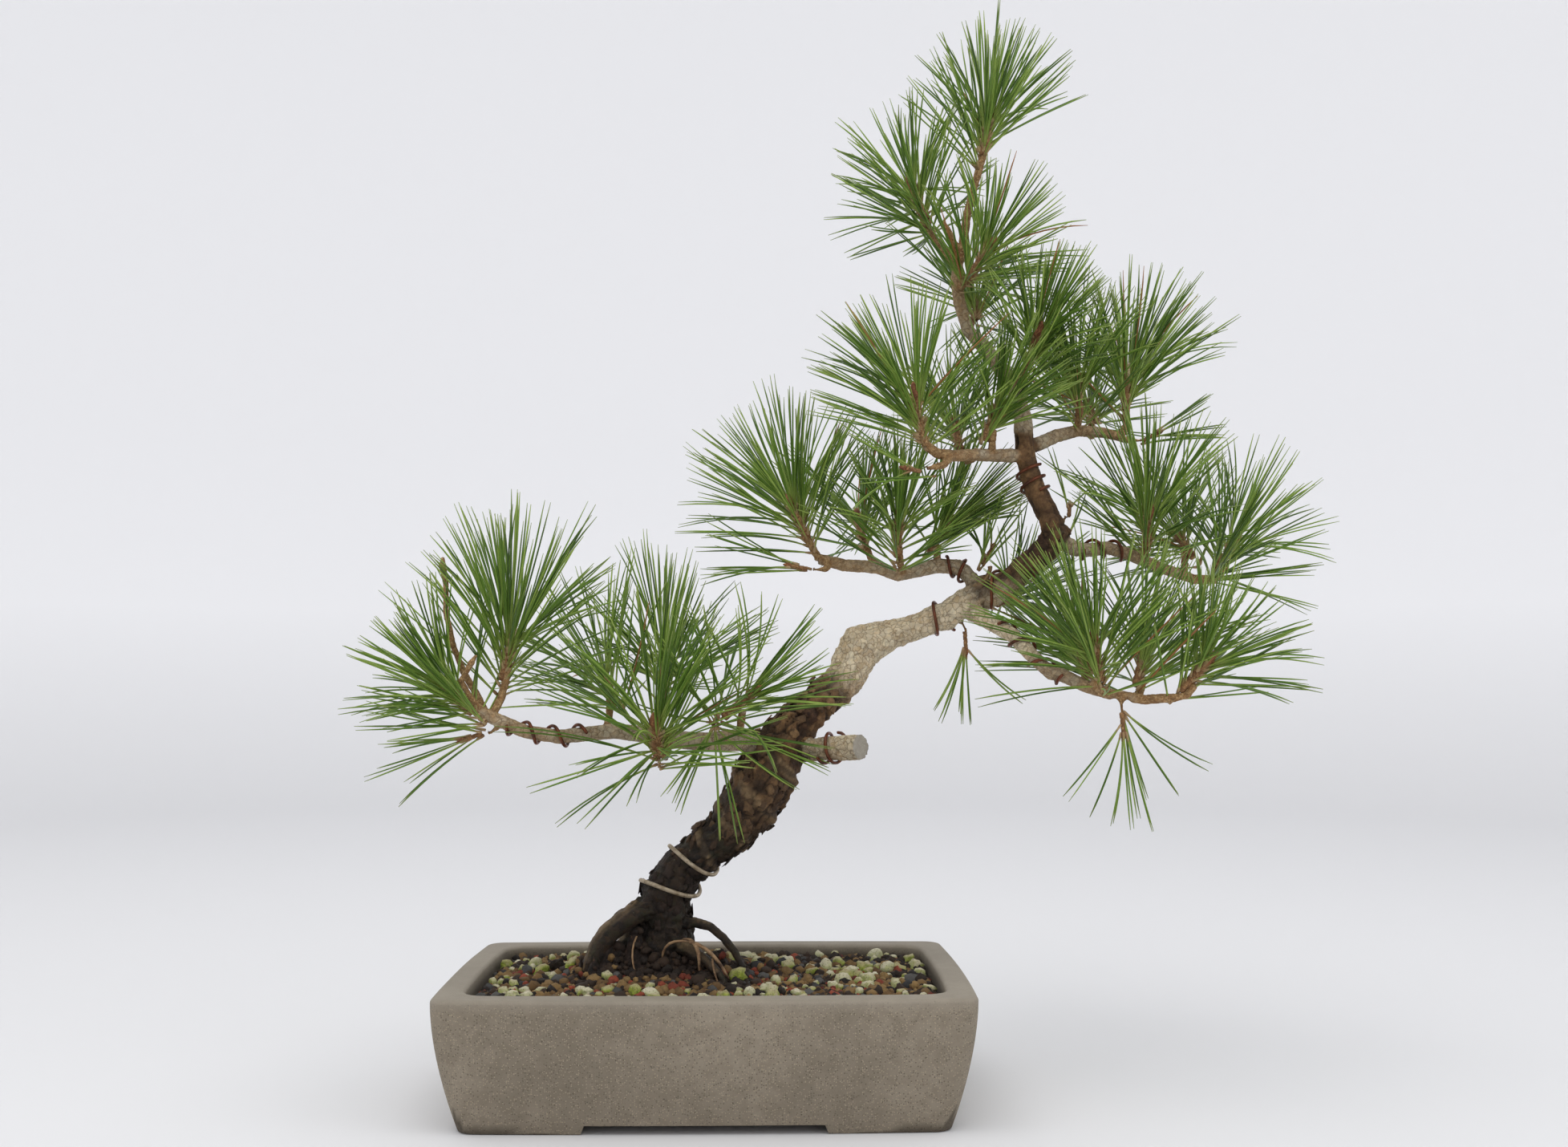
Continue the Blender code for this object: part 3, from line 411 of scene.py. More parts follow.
def apply_modifier(piece, kind, **settings):
    pick(piece)
    modifier = piece.modifiers.new(kind.title(), kind)
    for name, value in settings.items():
        setattr(modifier, name, value)
    bpy.ops.object.modifier_apply(modifier=modifier.name)
    return piece


def merged_copy(node, name):
    """A copy of a measured solid, whose loose triangles are joined at their corners."""
    copy = bpy.data.objects.new(name, frame["nodes"][node].data.copy())
    bpy.context.scene.collection.objects.link(copy)
    pick(copy)
    bpy.ops.object.mode_set(mode="EDIT")
    bpy.ops.mesh.select_all(action="SELECT")
    bpy.ops.mesh.remove_doubles(threshold=0.01 * MM)
    bpy.ops.object.mode_set(mode="OBJECT")
    if "custom_normal" in copy.data.attributes:
        copy.data.attributes.remove(copy.data.attributes["custom_normal"])
    bpy.ops.object.shade_smooth()
    return copy


def points_of(piece):
    found = np.empty(len(piece.data.vertices) * 3)
    piece.data.vertices.foreach_get("co", found)
    return found.reshape(-1, 3)


def normals_of(piece):
    found = np.empty(len(piece.data.vertices) * 3)
    piece.data.vertex_normals.foreach_get("vector", found)
    return found.reshape(-1, 3)


def surface_tree(piece):
    """A search tree of a piece's faces, for rays and for nearest places."""
    corners = [vertex.co for vertex in piece.data.vertices]
    return BVHTree.FromPolygons(corners, [face.vertices for face in piece.data.polygons])


def taken_shape(piece):
    """The points and faces of a template, whose object is then removed."""
    found = points_of(piece), [tuple(face.vertices) for face in piece.data.polygons]
    bpy.data.objects.remove(piece)
    return found


def finish_edit():
    """Turns all faces outwards and leaves the editor."""
    bpy.ops.mesh.select_all(action="SELECT")
    bpy.ops.mesh.normals_make_consistent(inside=False)
    bpy.ops.object.mode_set(mode="OBJECT")


def new_piece(name, points, faces):
    """A smooth piece from lists of point arrays and of faces."""
    mesh = bpy.data.meshes.new(name)
    mesh.from_pydata(np.concatenate(points).tolist(), [], faces)
    piece = bpy.data.objects.new(name, mesh)
    bpy.context.scene.collection.objects.link(piece)
    mesh.shade_smooth()
    return piece


def set_points(piece, points):
    piece.data.vertices.foreach_set("co", points.reshape(-1))
    piece.data.update()


def paint_points(piece, name, values):
    """Stores one number for each point, for the material to read."""
    layer = piece.data.attributes.new(name, "FLOAT", "POINT")
    layer.data.foreach_set("value", np.asarray(values, np.float32))


def eased(values, low, high):
    """0 below low, 1 above high, and a smooth rise between."""
    share = np.clip((np.asarray(values, float) - low) / (high - low), 0, 1)
    return share * share * (3 - 2 * share)


print("finish helpers ready, eased(0.5, 0, 1) is", float(eased(0.5, 0, 1)))

# %% [markdown]
# ## Pot: the clay
# Unglazed stoneware is a warm grey clay full of fine sand, fired until it is hard but never shiny. The
# sand shows as pale and dark grains under a millimetre across, the clay has broad faint clouds from the
# kiln, and the edges, which hands have rubbed, are smoother and greyer. Painting each grain is out of
# the question, so three layers of flecks and two of patches do it.

# %% Stoneware
def stoneware_material():
    look, tree, shader, place = new_material("unglazed_stoneware")
    clouds = patches(tree, place, scale=16.0, level=0.5, softness=0.16)
    mottle = patches(tree, place, scale=110.0, level=0.52, softness=0.1)
    pale = flecks(tree, place, scale=950.0, size=0.42, share=0.4)
    dark = flecks(tree, place, scale=760.0, size=0.4, share=0.34)
    coarse = flecks(tree, place, scale=420.0, size=0.2, share=0.16)
    rubbed = attribute(tree, "rubbed")
    colour = mixed(tree, clouds, paint("817767"), paint("958a79"))
    colour = stained(tree, colour, mottle, 0.45, "776c5c")
    sandy = reckoned(tree, "SUBTRACT", 1.0, product(tree, rubbed, 0.75))
    colour = mixed(tree, product(tree, pale, 0.7, sandy), colour, paint("ad9f88"))
    colour = mixed(tree, product(tree, dark, 0.75, sandy), colour, paint("5f564a"))
    colour = stained(tree, colour, coarse, 0.7, "4f463b")
    colour = stained(tree, colour, rubbed, 0.5, "9a9284")
    colour = stained(tree, colour, attribute(tree, "damp"), 0.75, "3d3427")
    surface(tree, shader, colour, stretched(tree, rubbed, 0.0, 1.0, 0.86, 0.68))
    roughen(tree, shader, place, scale=1300.0, strength=0.6, depth=0.0006)
    return look


STONEWARE = stoneware_material()
print("material:", STONEWARE.name)

# %% [markdown]
# ## Pot: the body
# The real pot is a slab-built box whose walls lean out and bow a little, with a thick flat rim. A cube
# would need every corner and bow cut afterwards. Here one ring of points is laid on the outline and
# extruded again and again, up the outside, over the rim and down the inside, and each new ring is set
# on the outline at its own inset. The foot gaps and drain holes are cut after that.

# %% Outline of the pot
HALF_WIDTH = (POT_HIGH.x - POT_LOW.x) / 2
HALF_DEPTH = (POT_HIGH.y - POT_LOW.y) / 2
SIDE_BOW = 2.6 * MM
OUTER_CORNER = 9 * MM
CORNER_POINTS = 7
LONG_POINTS = 25
SHORT_POINTS = 15
RING_POINTS = 4 * CORNER_POINTS + 2 * (LONG_POINTS + SHORT_POINTS)


def outline_ring(inset, corner):
    """The outline inset by a distance: straight sides that bow outwards and round corners."""
    half_x, half_y = HALF_WIDTH - SIDE_BOW - inset, HALF_DEPTH - SIDE_BOW - inset
    signs = ((1, 1), (-1, 1), (-1, -1), (1, -1))
    ring = []
    for index, (sign_x, sign_y) in enumerate(signs):
        centre = Vector((sign_x * (half_x - corner), sign_y * (half_y - corner)))
        for step in range(CORNER_POINTS):
            turn = math.pi / 2 * (index + step / (CORNER_POINTS - 1))
            ring.append(centre + corner * Vector((math.cos(turn), math.sin(turn))))
        next_x, next_y = signs[(index + 1) % 4]
        turn = math.pi / 2 * (index + 1)
        end = Vector((next_x * (half_x - corner), next_y * (half_y - corner)))
        end += corner * Vector((math.cos(turn), math.sin(turn)))
        count = (LONG_POINTS, SHORT_POINTS)[index % 2]
        start = ring[-1].copy()
        ring += [start.lerp(end, step / (count + 1)) for step in range(1, count + 1)]
    return [bowed(point, half_x, half_y) for point in ring]


def bowed(point, half_x, half_y):
    x = point.x * (1 + SIDE_BOW / half_x * (1 - (point.y / half_y) ** 2))
    y = point.y * (1 + SIDE_BOW / half_y * (1 - (point.x / half_x) ** 2))
    return Vector((x, y))


print("ring of", len(outline_ring(0, OUTER_CORNER)), "points")

# %% Profile of the pot
WALL_LEAN = 13.5 * MM
RIM_WIDTH = 16 * MM
INNER_LEAN = 8 * MM
INNER_CORNER = 14 * MM
FOOT_HEIGHT = 5.5 * MM
FLOOR_TOP = 14.5 * MM
ARRIS = 2.5 * MM
WALL_STEPS = 14
ROUND_STEPS = 5


def wall_profile():
    """Inset, height and corner radius of each ring, from the foot, over the rim and down to the floor."""
    low = ARRIS * 0.6
    rings = [(WALL_LEAN + low, 0.0, OUTER_CORNER), (WALL_LEAN + low * 0.3, low * 0.3, OUTER_CORNER)]
    for step in range(WALL_STEPS):
        share = step / WALL_STEPS
        height = low + (POT_HIGH.z - ARRIS - low) * share
        rings.append((WALL_LEAN * (1 - share) ** 1.7, height, OUTER_CORNER))
    for step in range(ROUND_STEPS + 1):
        turn = math.pi / 2 * step / ROUND_STEPS
        inset, height = ARRIS * (1 - math.cos(turn)), POT_HIGH.z - ARRIS * (1 - math.sin(turn))
        rings.append((inset, height, OUTER_CORNER))
    rings.append((RIM_WIDTH / 2, POT_HIGH.z, INNER_CORNER * 0.8))
    for step in range(ROUND_STEPS + 1):
        turn = math.pi / 2 * step / ROUND_STEPS
        inset = RIM_WIDTH - ARRIS * (1 - math.sin(turn))
        rings.append((inset, POT_HIGH.z - ARRIS * (1 - math.cos(turn)), INNER_CORNER))
    for step in range(1, WALL_STEPS + 1):
        share = step / WALL_STEPS
        height = POT_HIGH.z - ARRIS - (POT_HIGH.z - ARRIS - FLOOR_TOP) * share
        rings.append((RIM_WIDTH + INNER_LEAN * share, height, INNER_CORNER))
    return rings


print("rings:", len(wall_profile()))

# %% Extrude the rings
def lay_ring(obj, picked, inset, height, corner):
    """Puts the picked points of an edited mesh on the outline, in order round the pot."""
    ring = outline_ring(inset, corner)
    for vertex, target in zip(picked, ring):
        wander = noise.noise(Vector((target.x, target.y, height)) * 14) * 0.35 * MM
        out = target.normalized() * wander
        obj.data.vertices[vertex].co = (
            POT_CENTRE.x + target.x + out.x,
            POT_CENTRE.y + target.y + out.y,
            height,
        )


def make_pot_body():
    clear_selection()
    bpy.ops.mesh.primitive_circle_add(vertices=RING_POINTS, radius=HALF_DEPTH, location=(0, 0, 0))
    body = bpy.context.object
    body.name = "stoneware_pot"
    for index, (inset, height, corner) in enumerate(wall_profile()):
        if index:
            bpy.ops.object.mode_set(mode="EDIT")
            bpy.ops.mesh.extrude_edges_move()
            bpy.ops.object.mode_set(mode="OBJECT")
        picked = [vertex.index for vertex in body.data.vertices if vertex.select]
        lay_ring(body, picked, inset, height, corner)
    bpy.ops.object.mode_set(mode="EDIT")
    bpy.ops.mesh.edge_face_add()
    bpy.ops.mesh.select_all(action="DESELECT")
    bpy.ops.mesh.select_non_manifold()
    bpy.ops.mesh.edge_face_add()
    finish_edit()
    return body


stoneware_pot = make_pot_body()
print("pot body:", len(stoneware_pot.data.polygons), "faces")

# %% Cut the foot gaps and the drain holes
FOOT_LENGTH = 69 * MM
FOOT_DEPTH = 42 * MM
FOOT_WALL = 14 * MM
CUT_SLOPE = 3 * MM
DRAIN_RADIUS = 11 * MM
DRAIN_SPACING = 144 * MM


def cutting_block(half_x, half_y, low, high, slope=(0, 0)):
    """A block whose top is smaller by slope at each end."""
    clear_selection()
    bpy.ops.mesh.primitive_cube_add(size=2, location=(POT_CENTRE.x, POT_CENTRE.y, (low + high) / 2))
    block = bpy.context.object
    block.scale = (half_x, half_y, (high - low) / 2)
    settle(block)
    for vertex in block.data.vertices:
        if vertex.co.z > (low + high) / 2:
            vertex.co.x -= math.copysign(slope[0], vertex.co.x - POT_CENTRE.x)
            vertex.co.y -= math.copysign(slope[1], vertex.co.y - POT_CENTRE.y)
    return block


def drain_cutter(side):
    place = (POT_CENTRE.x + side * DRAIN_SPACING / 2, POT_CENTRE.y, FLOOR_TOP / 2)
    depth = 4 * FLOOR_TOP
    clear_selection()
    bpy.ops.mesh.primitive_cylinder_add(vertices=40, radius=DRAIN_RADIUS, depth=depth, location=place)
    return settle(bpy.context.object)


base_half_x = HALF_WIDTH - WALL_LEAN - SIDE_BOW
base_half_y = HALF_DEPTH - WALL_LEAN - SIDE_BOW
below = -2 * MM
cutters = [
    cutting_block(base_half_x - FOOT_LENGTH, 2 * HALF_DEPTH, below, FOOT_HEIGHT, (CUT_SLOPE, 0)),
    cutting_block(2 * HALF_WIDTH, base_half_y - FOOT_DEPTH, below, FOOT_HEIGHT, (0, CUT_SLOPE)),
    cutting_block(base_half_x - FOOT_WALL, base_half_y - FOOT_WALL, below, FOOT_HEIGHT),
    drain_cutter(-1),
    drain_cutter(1),
]
for cutter in cutters:
    apply_modifier(stoneware_pot, "BOOLEAN", operation="DIFFERENCE", object=cutter, solver="EXACT")
    bpy.data.objects.remove(cutter)
apply_modifier(stoneware_pot, "BEVEL", width=0.7 * MM, segments=2, limit_method="ANGLE", angle_limit=0.9)
pick(stoneware_pot)
bpy.ops.object.shade_smooth_by_angle(angle=0.6)
places = points_of(stoneware_pot)
edge_distance = np.abs(places[:, 2] - POT_HIGH.z)
paint_points(stoneware_pot, "rubbed", 1 - eased(edge_distance, 0.5 * MM, 5 * MM))
inside_x = np.abs(places[:, 0] - POT_CENTRE.x) < HALF_WIDTH - RIM_WIDTH + 1 * MM
inside_y = np.abs(places[:, 1] - POT_CENTRE.y) < HALF_DEPTH - RIM_WIDTH + 1 * MM
inside = inside_x & inside_y
paint_points(stoneware_pot, "damp", inside * (1 - eased(places[:, 2], SOIL_LEVEL, POT_HIGH.z - 1 * MM)))
hand_over(stoneware_pot, STONEWARE, "stoneware", "pot")

# %% [markdown]
# ## Soil
# The surface is dark damp humus, raised in a low mound round the trunk. The measured soil has the
# right outline, mound and root hollows, so a copy of it is remeshed into small even squares. Its upper
# face is then raised in a few heaps against the roots and crumbled with noise, which a sculptor would
# do with a brush.

# %% Humus body
def humus_material():
    look, tree, shader, place = new_material("dark_humus")
    crumbs = patches(tree, place, scale=260.0, level=0.5, softness=0.12)
    bits = flecks(tree, place, scale=420.0, size=0.4, share=0.25)
    colour = mixed(tree, crumbs, paint("120b06"), paint("2d1c10"))
    colour = stained(tree, colour, bits, 0.6, "5a4027")
    surface(tree, shader, colour, stretched(tree, crumbs, 0.0, 1.0, 0.95, 0.7))
    roughen(tree, shader, place, scale=700.0, strength=0.8, depth=0.001)
    return look


HUMUS = humus_material()
humus = merged_copy("soil", "humus_surface")
humus.data.remesh_voxel_size = 1.8 * MM
bpy.ops.object.voxel_remesh()
bpy.ops.object.shade_smooth()
places, facing = points_of(humus), normals_of(humus)
upper = eased(facing[:, 2], 0.2, 0.7) * eased(places[:, 2], SOIL_LEVEL - 8 * MM, SOIL_LEVEL - 2 * MM)
HEAPS = [  # x, y from the trunk's foot, reach along each and height, all in millimetres
    (-33, -20, 12, 9, 18), (-17, -17, 10, 8, 19), (0, -21, 9, 7, 9), (15, -19, 9, 7, 9),
    (-45, -23, 9, 9, 19), (32, -15, 12, 9, 9), (-52, -6, 9, 8, 6), (44, -27, 8, 6, 4),
    (62, -6, 15, 10, 5), (-20, 12, 18, 9, 7),
]
heap = np.zeros(len(places))
for x, y, reach_x, reach_y, rise in HEAPS:
    off_x = (places[:, 0] - TRUNK_FOOT.x) / MM - x
    off_y = (places[:, 1] - TRUNK_FOOT.y) / MM - y
    heap = np.maximum(heap, rise * np.exp(-((off_x / reach_x) ** 2) - (off_y / reach_y) ** 2))
CRUMBLE = ((1.0, 160), (1.4, 60), (0.5, 400))  # strength and fineness of each layer of noise
CLODS = ((1.0, 230), (0.6, 90))


def layered_noise(points, layers):
    """Several layers of noise added up, for each point."""
    return np.array([sum(size * noise.noise(Vector(p) * scale) for size, scale in layers) for p in points])


crumble, clods = layered_noise(places, CRUMBLE), layered_noise(places, CLODS)
places[:, 2] += upper * (crumble + heap * (1 + 0.6 * clods) + eased(heap, 1, 5) * 2.2 * clods) * MM
set_points(humus, places)
hand_over(humus, HUMUS, "soil", "soil")

# %% [markdown]
# ## Grains of soil
# Bonsai soil is gravel: porous white pumice with green algae, brick-red lava, tan baked clay and dark
# grit. Thousands of grains lie on the humus. Modelling each one would be madness, and full-detail stones
# would drown the scene, so each kind has a few template stones of a few dozen faces, and every copy is
# turned, squashed and sized at random from a fixed seed.

# %% Template stones
def template_stone(name, detail, lumpiness, seed):
    """A small lumpy stone, one unit across."""
    clear_selection()
    if detail:
        bpy.ops.mesh.primitive_ico_sphere_add(subdivisions=2, radius=0.5, location=(0, 0, 0))
    else:
        bpy.ops.mesh.primitive_cube_add(size=0.8, location=(0, 0, 0))
        bpy.ops.object.mode_set(mode="EDIT")
        bpy.ops.mesh.subdivide(number_cuts=1, smoothness=0.9)
        bpy.ops.object.mode_set(mode="OBJECT")
    stone = bpy.context.object
    stone.name = name
    for vertex in stone.data.vertices:
        push = noise.noise(vertex.co * 2.6 + Vector((seed * 7.3, seed * 3.1, seed * 5.7)))
        vertex.co *= 1 + lumpiness * push
    return taken_shape(stone)


PUMICE_STONES = [template_stone(f"pumice_{n}", True, 0.55, n) for n in range(3)]
GRIT_STONES = [template_stone(f"grit_{n}", False, 0.5, n + 4) for n in range(3)]
print("stone faces:", [len(faces) for _, faces in PUMICE_STONES + GRIT_STONES])

# %% Copy a template many times into one piece
def copies_piece(name, templates, placings):
    """One piece of many copies: each placing is a place, a 3 by 3 matrix and a tint from 0 to 1."""
    points, faces, tints, start = [], [], [], 0
    for index, (place, matrix, tint) in enumerate(placings):
        shape, shape_faces = templates[index % len(templates)]
        points.append(shape @ np.array(matrix).T + np.array(place))
        faces += [tuple(corner + start for corner in face) for face in shape_faces]
        tints += [tint] * len(shape)
        start += len(shape)
    piece = new_piece(name, points, faces)
    paint_points(piece, "tint", tints)
    return piece


print("copying helper ready")

# %% Where grains can lie
SOIL_TREE = surface_tree(humus)
CAD_TREE = surface_tree(frame["nodes"]["tree"])
GROUND_HALF_X = HALF_WIDTH - SIDE_BOW - RIM_WIDTH - 0.5 * MM
GROUND_HALF_Y = HALF_DEPTH - SIDE_BOW - RIM_WIDTH - 0.5 * MM


def on_ground(x, y, radius):
    """The soil's height at a place measured from the pot's centre, or None by the walls and in the trunk."""
    reach_x, reach_y = GROUND_HALF_X - radius, GROUND_HALF_Y - radius
    corner = INNER_CORNER - radius
    over = Vector((max(abs(x) - reach_x + corner, 0), max(abs(y) - reach_y + corner, 0)))
    if abs(x) > reach_x or abs(y) > reach_y or over.length > corner:
        return None
    start = Vector((POT_CENTRE.x + x, POT_CENTRE.y + y, POT_HIGH.z + 30 * MM))
    hit = SOIL_TREE.ray_cast(start, Vector((0, 0, -1)))[0]
    if hit is None or CAD_TREE.find_nearest(hit, radius + 1 * MM)[0] is not None:
        return None
    return hit.z


print("ground at the front:", on_ground(0, -60 * MM, 2 * MM))

# %% Scatter the grains
DICE = random.Random(41)
CELL = 8 * MM


def likes(kind, x, y):
    """How readily a kind of grain lies at a place, from 0 to 1."""
    patch = noise.noise(Vector((x, y, 3.0)) * 26)
    other = noise.noise(Vector((x, y, 8.0)) * 34)
    foot = Vector((x / MM + 28, y / MM - 15)).length
    bare = min(max((foot - 33) / 20, 0.0), 1.0)
    warm = math.exp(-(((x / MM + 42) / 48) ** 2 + ((y / MM + 30) / 42) ** 2))
    clump = min(max((patch + 0.05) * 4, 0), 1) if x > 0 else min(max((patch - 0.15) * 4, 0), 1)
    if kind == "pumice":
        return bare * (0.34 + 0.3 * other - 0.28 * warm) * (1 - 0.7 * clump)
    if kind in ("lava", "baked_clay"):
        return bare * (0.16 + 0.4 * warm if kind == "lava" else 0.4 + 0.5 * warm) * (1 - 0.6 * clump)
    if kind == "crumbs":
        return 0.3 + 0.7 * max(clump, 1 - bare)
    return (0.1 + 0.6 * bare) * (0.8 - 0.5 * clump)


def throw_grains(kind, count, smallest, largest, taken, spacing):
    """Drops grains at random, each clear of those already there, and returns their placings."""
    placings = []
    for _ in range(count):
        x = DICE.uniform(-GROUND_HALF_X, GROUND_HALF_X)
        y = DICE.uniform(-GROUND_HALF_Y, GROUND_HALF_Y)
        radius = (smallest + (largest - smallest) * DICE.random() ** 1.8) / 2
        wanted = DICE.random() < likes(kind, x, y)
        turn = [DICE.uniform(0, math.tau) for _ in range(3)]
        squash = [2 * radius * DICE.uniform(low, 1.25) for low in (0.85, 0.7, 0.6)]
        tint = DICE.random()
        cell = (round(x / CELL), round(y / CELL))
        near = [g for i in (-1, 0, 1) for j in (-1, 0, 1) for g in taken.get((cell[0] + i, cell[1] + j), ())]
        if not wanted or any(math.hypot(x - gx, y - gy) < (radius + gr) * spacing for gx, gy, gr in near):
            continue
        height = on_ground(x, y, radius * 0.8)
        if height is None:
            continue
        taken.setdefault(cell, []).append((x, y, radius))
        turned = Matrix.Rotation(turn[2], 3, "Z") @ Matrix.Rotation(turn[0] * 0.15, 3, "X")
        matrix = turned @ Matrix.Diagonal(squash)
        place = (POT_CENTRE.x + x, POT_CENTRE.y + y, height + radius * 0.42)
        placings.append((place, matrix, tint))
    return placings


THROWS = {  # how many are tried, the smallest and largest in millimetres, and how closely they may lie
    "pumice": (1500, 4.8, 11, 0.88),
    "baked_clay": (4200, 2.8, 6, 0.8),
    "lava": (4200, 2.6, 5.8, 0.8),
    "grit": (2400, 2.6, 6.5, 0.8),
    "crumbs": (9000, 2.0, 6, 0.6),
    "fines": (9000, 1.2, 2.6, 0.75),
}
GROUND = {}
GRAINS = {}
for kind, (count, smallest, largest, spacing) in THROWS.items():
    taken = {} if kind == "fines" else GROUND  # fines lie between and under the others
    GRAINS[kind] = throw_grains(kind, count, smallest * MM, largest * MM, taken, spacing)
print("grains:", {kind: len(placings) for kind, placings in GRAINS.items()})

# %% [markdown]
# ## Grain finishes
# Pumice is a chalky foam: cream white, pitted, and stained green where algae have crept up its damp
# sides. Lava is brick red and rough, baked clay is ochre and dusty, the grit is blue-black, and crumbs
# of humus and fine dust fill the gaps.

# %% Stone materials
def pumice_material():
    look, tree, shader, place = new_material("pumice_with_algae")
    pits = flecks(tree, place, scale=900.0, size=0.45, share=0.5)
    algae = patches(tree, place, scale=170.0, level=0.40, softness=0.07)
    tint = attribute(tree, "tint")
    stone = mixed(tree, tint, paint("d9d2ba"), paint("ada078"))
    shade = patches(tree, place, scale=500.0, level=0.5, softness=0.15)
    green = mixed(tree, shade, paint("6c7c24"), paint("adb94a"))
    upright = put(tree, "SeparateXYZ", Vector=put(tree, "NewGeometry").outputs["Normal"]).outputs["Z"]
    low_side = stretched(tree, upright, 1.0, 0.3)
    share = product(tree, algae, low_side, stretched(tree, tint, 0.1, 0.8, 0.5, 1.0))
    colour = mixed(tree, share, stone, green)
    colour = stained(tree, colour, pits, 0.55, "6d5f42")
    surface(tree, shader, colour, 0.92)
    roughen(tree, shader, place, scale=1100.0, strength=0.9, depth=0.0008)
    return look


def grain_material(name, dark, light, dust, roughness):
    """Small stones that differ only in their colours."""
    look, tree, shader, place = new_material(name)
    tint = attribute(tree, "tint")
    colour = mixed(tree, tint, paint(dark), paint(light))
    dusty = patches(tree, place, scale=420.0, level=0.55, softness=0.1)
    colour = mixed(tree, product(tree, dusty, 0.4), colour, paint(dust))
    surface(tree, shader, colour, roughness)
    roughen(tree, shader, place, scale=1300.0, strength=0.8, depth=0.0006)
    return look


PUMICE = pumice_material()
hand_over(copies_piece("pumice_grains", PUMICE_STONES, GRAINS["pumice"]), PUMICE, "soil")
GRIT_LOOKS = {  # name, dark, light and dust colours, and roughness
    "lava": ("brick_red_lava", "5a1e10", "96442a", "4a2a1c", 0.85),
    "baked_clay": ("baked_clay", "5a3f22", "94774a", "463a24", 0.9),
    "grit": ("dark_grit", "26272a", "5c5a57", "3c3932", 0.8),
    "crumbs": ("humus_crumbs", "150e09", "3a291b", "20160e", 0.85),
    "fines": ("soil_fines", "2a1c12", "6b4a2c", "3a2a1a", 0.9),
}
for kind, look in GRIT_LOOKS.items():
    hand_over(copies_piece(f"{kind}_grains", GRIT_STONES, GRAINS[kind]), grain_material(*look), "soil")

# %% [markdown]
# ## Tree: where each kind of bark is
# A pine's bark tells its age. Low on the trunk it is thick, cracked and nearly black with damp and moss.
# Higher up it flakes off in thin plates over a pale tan skin, and the youngest shoots are orange and
# scaly. So the first step is to know, for each point of the wood, how far up the trunk it is, how far
# round it, and how thick the wood is there. The trunk's line is a few given points.

# %% Trunk line and distances along it
TRUNK_LINE = [
    (0, 0, 0),
    (0, -1, 31),
    (10, -5, 65),
    (37, -9, 88),
    (60, -12, 118),
    (80, -7, 154),
    (112, 5, 183),
    (124, 11, 205),
    (161, 10, 219),
    (192, 5, 233),
    (240, -11, 266),
    (241, -11, 290),
    (228, -5, 331),
]


def beside_line(points, line):
    """Distance along a line of points, distance off it and turn round it, for many points."""
    along, off = np.zeros(len(points)), np.full(len(points), np.inf)
    turn, walked = np.zeros(len(points)), 0.0
    for start, end in zip(line, line[1:]):
        step = np.array(end - start)
        length = np.linalg.norm(step)
        way = step / length
        side = np.cross(way, (0, 1, 0))
        side /= np.linalg.norm(side)
        third = np.cross(way, side)
        share = np.clip((points - np.array(start)) @ way, 0, length)
        rest = points - np.array(start) - share[:, None] * way
        distance = np.linalg.norm(rest, axis=1)
        nearer = distance < off
        along[nearer], off[nearer] = walked + share[nearer], distance[nearer]
        turn[nearer] = np.arctan2(rest[nearer] @ third, rest[nearer] @ side)
        walked += length
    return along, off, turn


trunk_points = [from_foot(*place) for place in TRUNK_LINE]
print("trunk line:", round(sum((b - a).length for a, b in zip(trunk_points, trunk_points[1:])), 3), "m")

# %% [markdown]
# ## Tree: even mesh and wood thickness
# The measured tree is one solid of long triangles, too coarse to carve. A voxel remesh of a copy turns
# it into small even squares, which is what sculptors start from. The thickness comes from a ray cast
# inwards from each point, evened out along the mesh.

# %% Remesh the wood
WOOD_CELL = 1.2 * MM
wood = merged_copy("tree", "pine_wood")
smooth_tree = surface_tree(wood)
wood.data.remesh_voxel_size = WOOD_CELL
bpy.ops.object.voxel_remesh()
bpy.ops.object.shade_smooth()
places, facing = points_of(wood), normals_of(wood)


def thickness_at(place, normal):
    start = Vector(place) - Vector(normal) * 0.4 * MM
    distance = smooth_tree.ray_cast(start, -Vector(normal))[3]
    return distance or 2 * MM


def evened(piece, values, rounds):
    """Averages a number along the mesh's edges, several times over."""
    ends = np.empty(len(piece.data.edges) * 2, np.int64)
    piece.data.edges.foreach_get("vertices", ends)
    first, second = ends[0::2], ends[1::2]
    count = np.bincount(ends, minlength=len(values))
    for _ in range(rounds):
        total = np.bincount(first, values[second], len(values))
        total += np.bincount(second, values[first], len(values))
        values = 0.5 * values + 0.5 * total / np.maximum(count, 1)
    return values


girth = np.array([thickness_at(place, normal) for place, normal in zip(places, facing)]) / 2 / MM
girth = evened(wood, np.minimum(girth, 22.0), 14)
along, off, turn = beside_line(places, trunk_points)
along, off = along / MM, off / MM
print("wood points:", len(places), "thickest radius", round(girth.max(), 1), "mm")

# %% [markdown]
# ## Tree: where the bunches are
# Each bunch of needles was measured as a bud with spikes. The bud's middle, the way that it points and
# the tips of its spikes are read back here, since both the shoots and the needles have to fit them.

# %% Measure a bunch
BUD_REACH = 9 * MM  # points of the bud lie this near each other, and spike tips don't
FEWEST_SPIKES = 20  # a bunch with fewer is a sparse one


def units(rows):
    return rows / np.linalg.norm(rows, axis=1)[:, None]


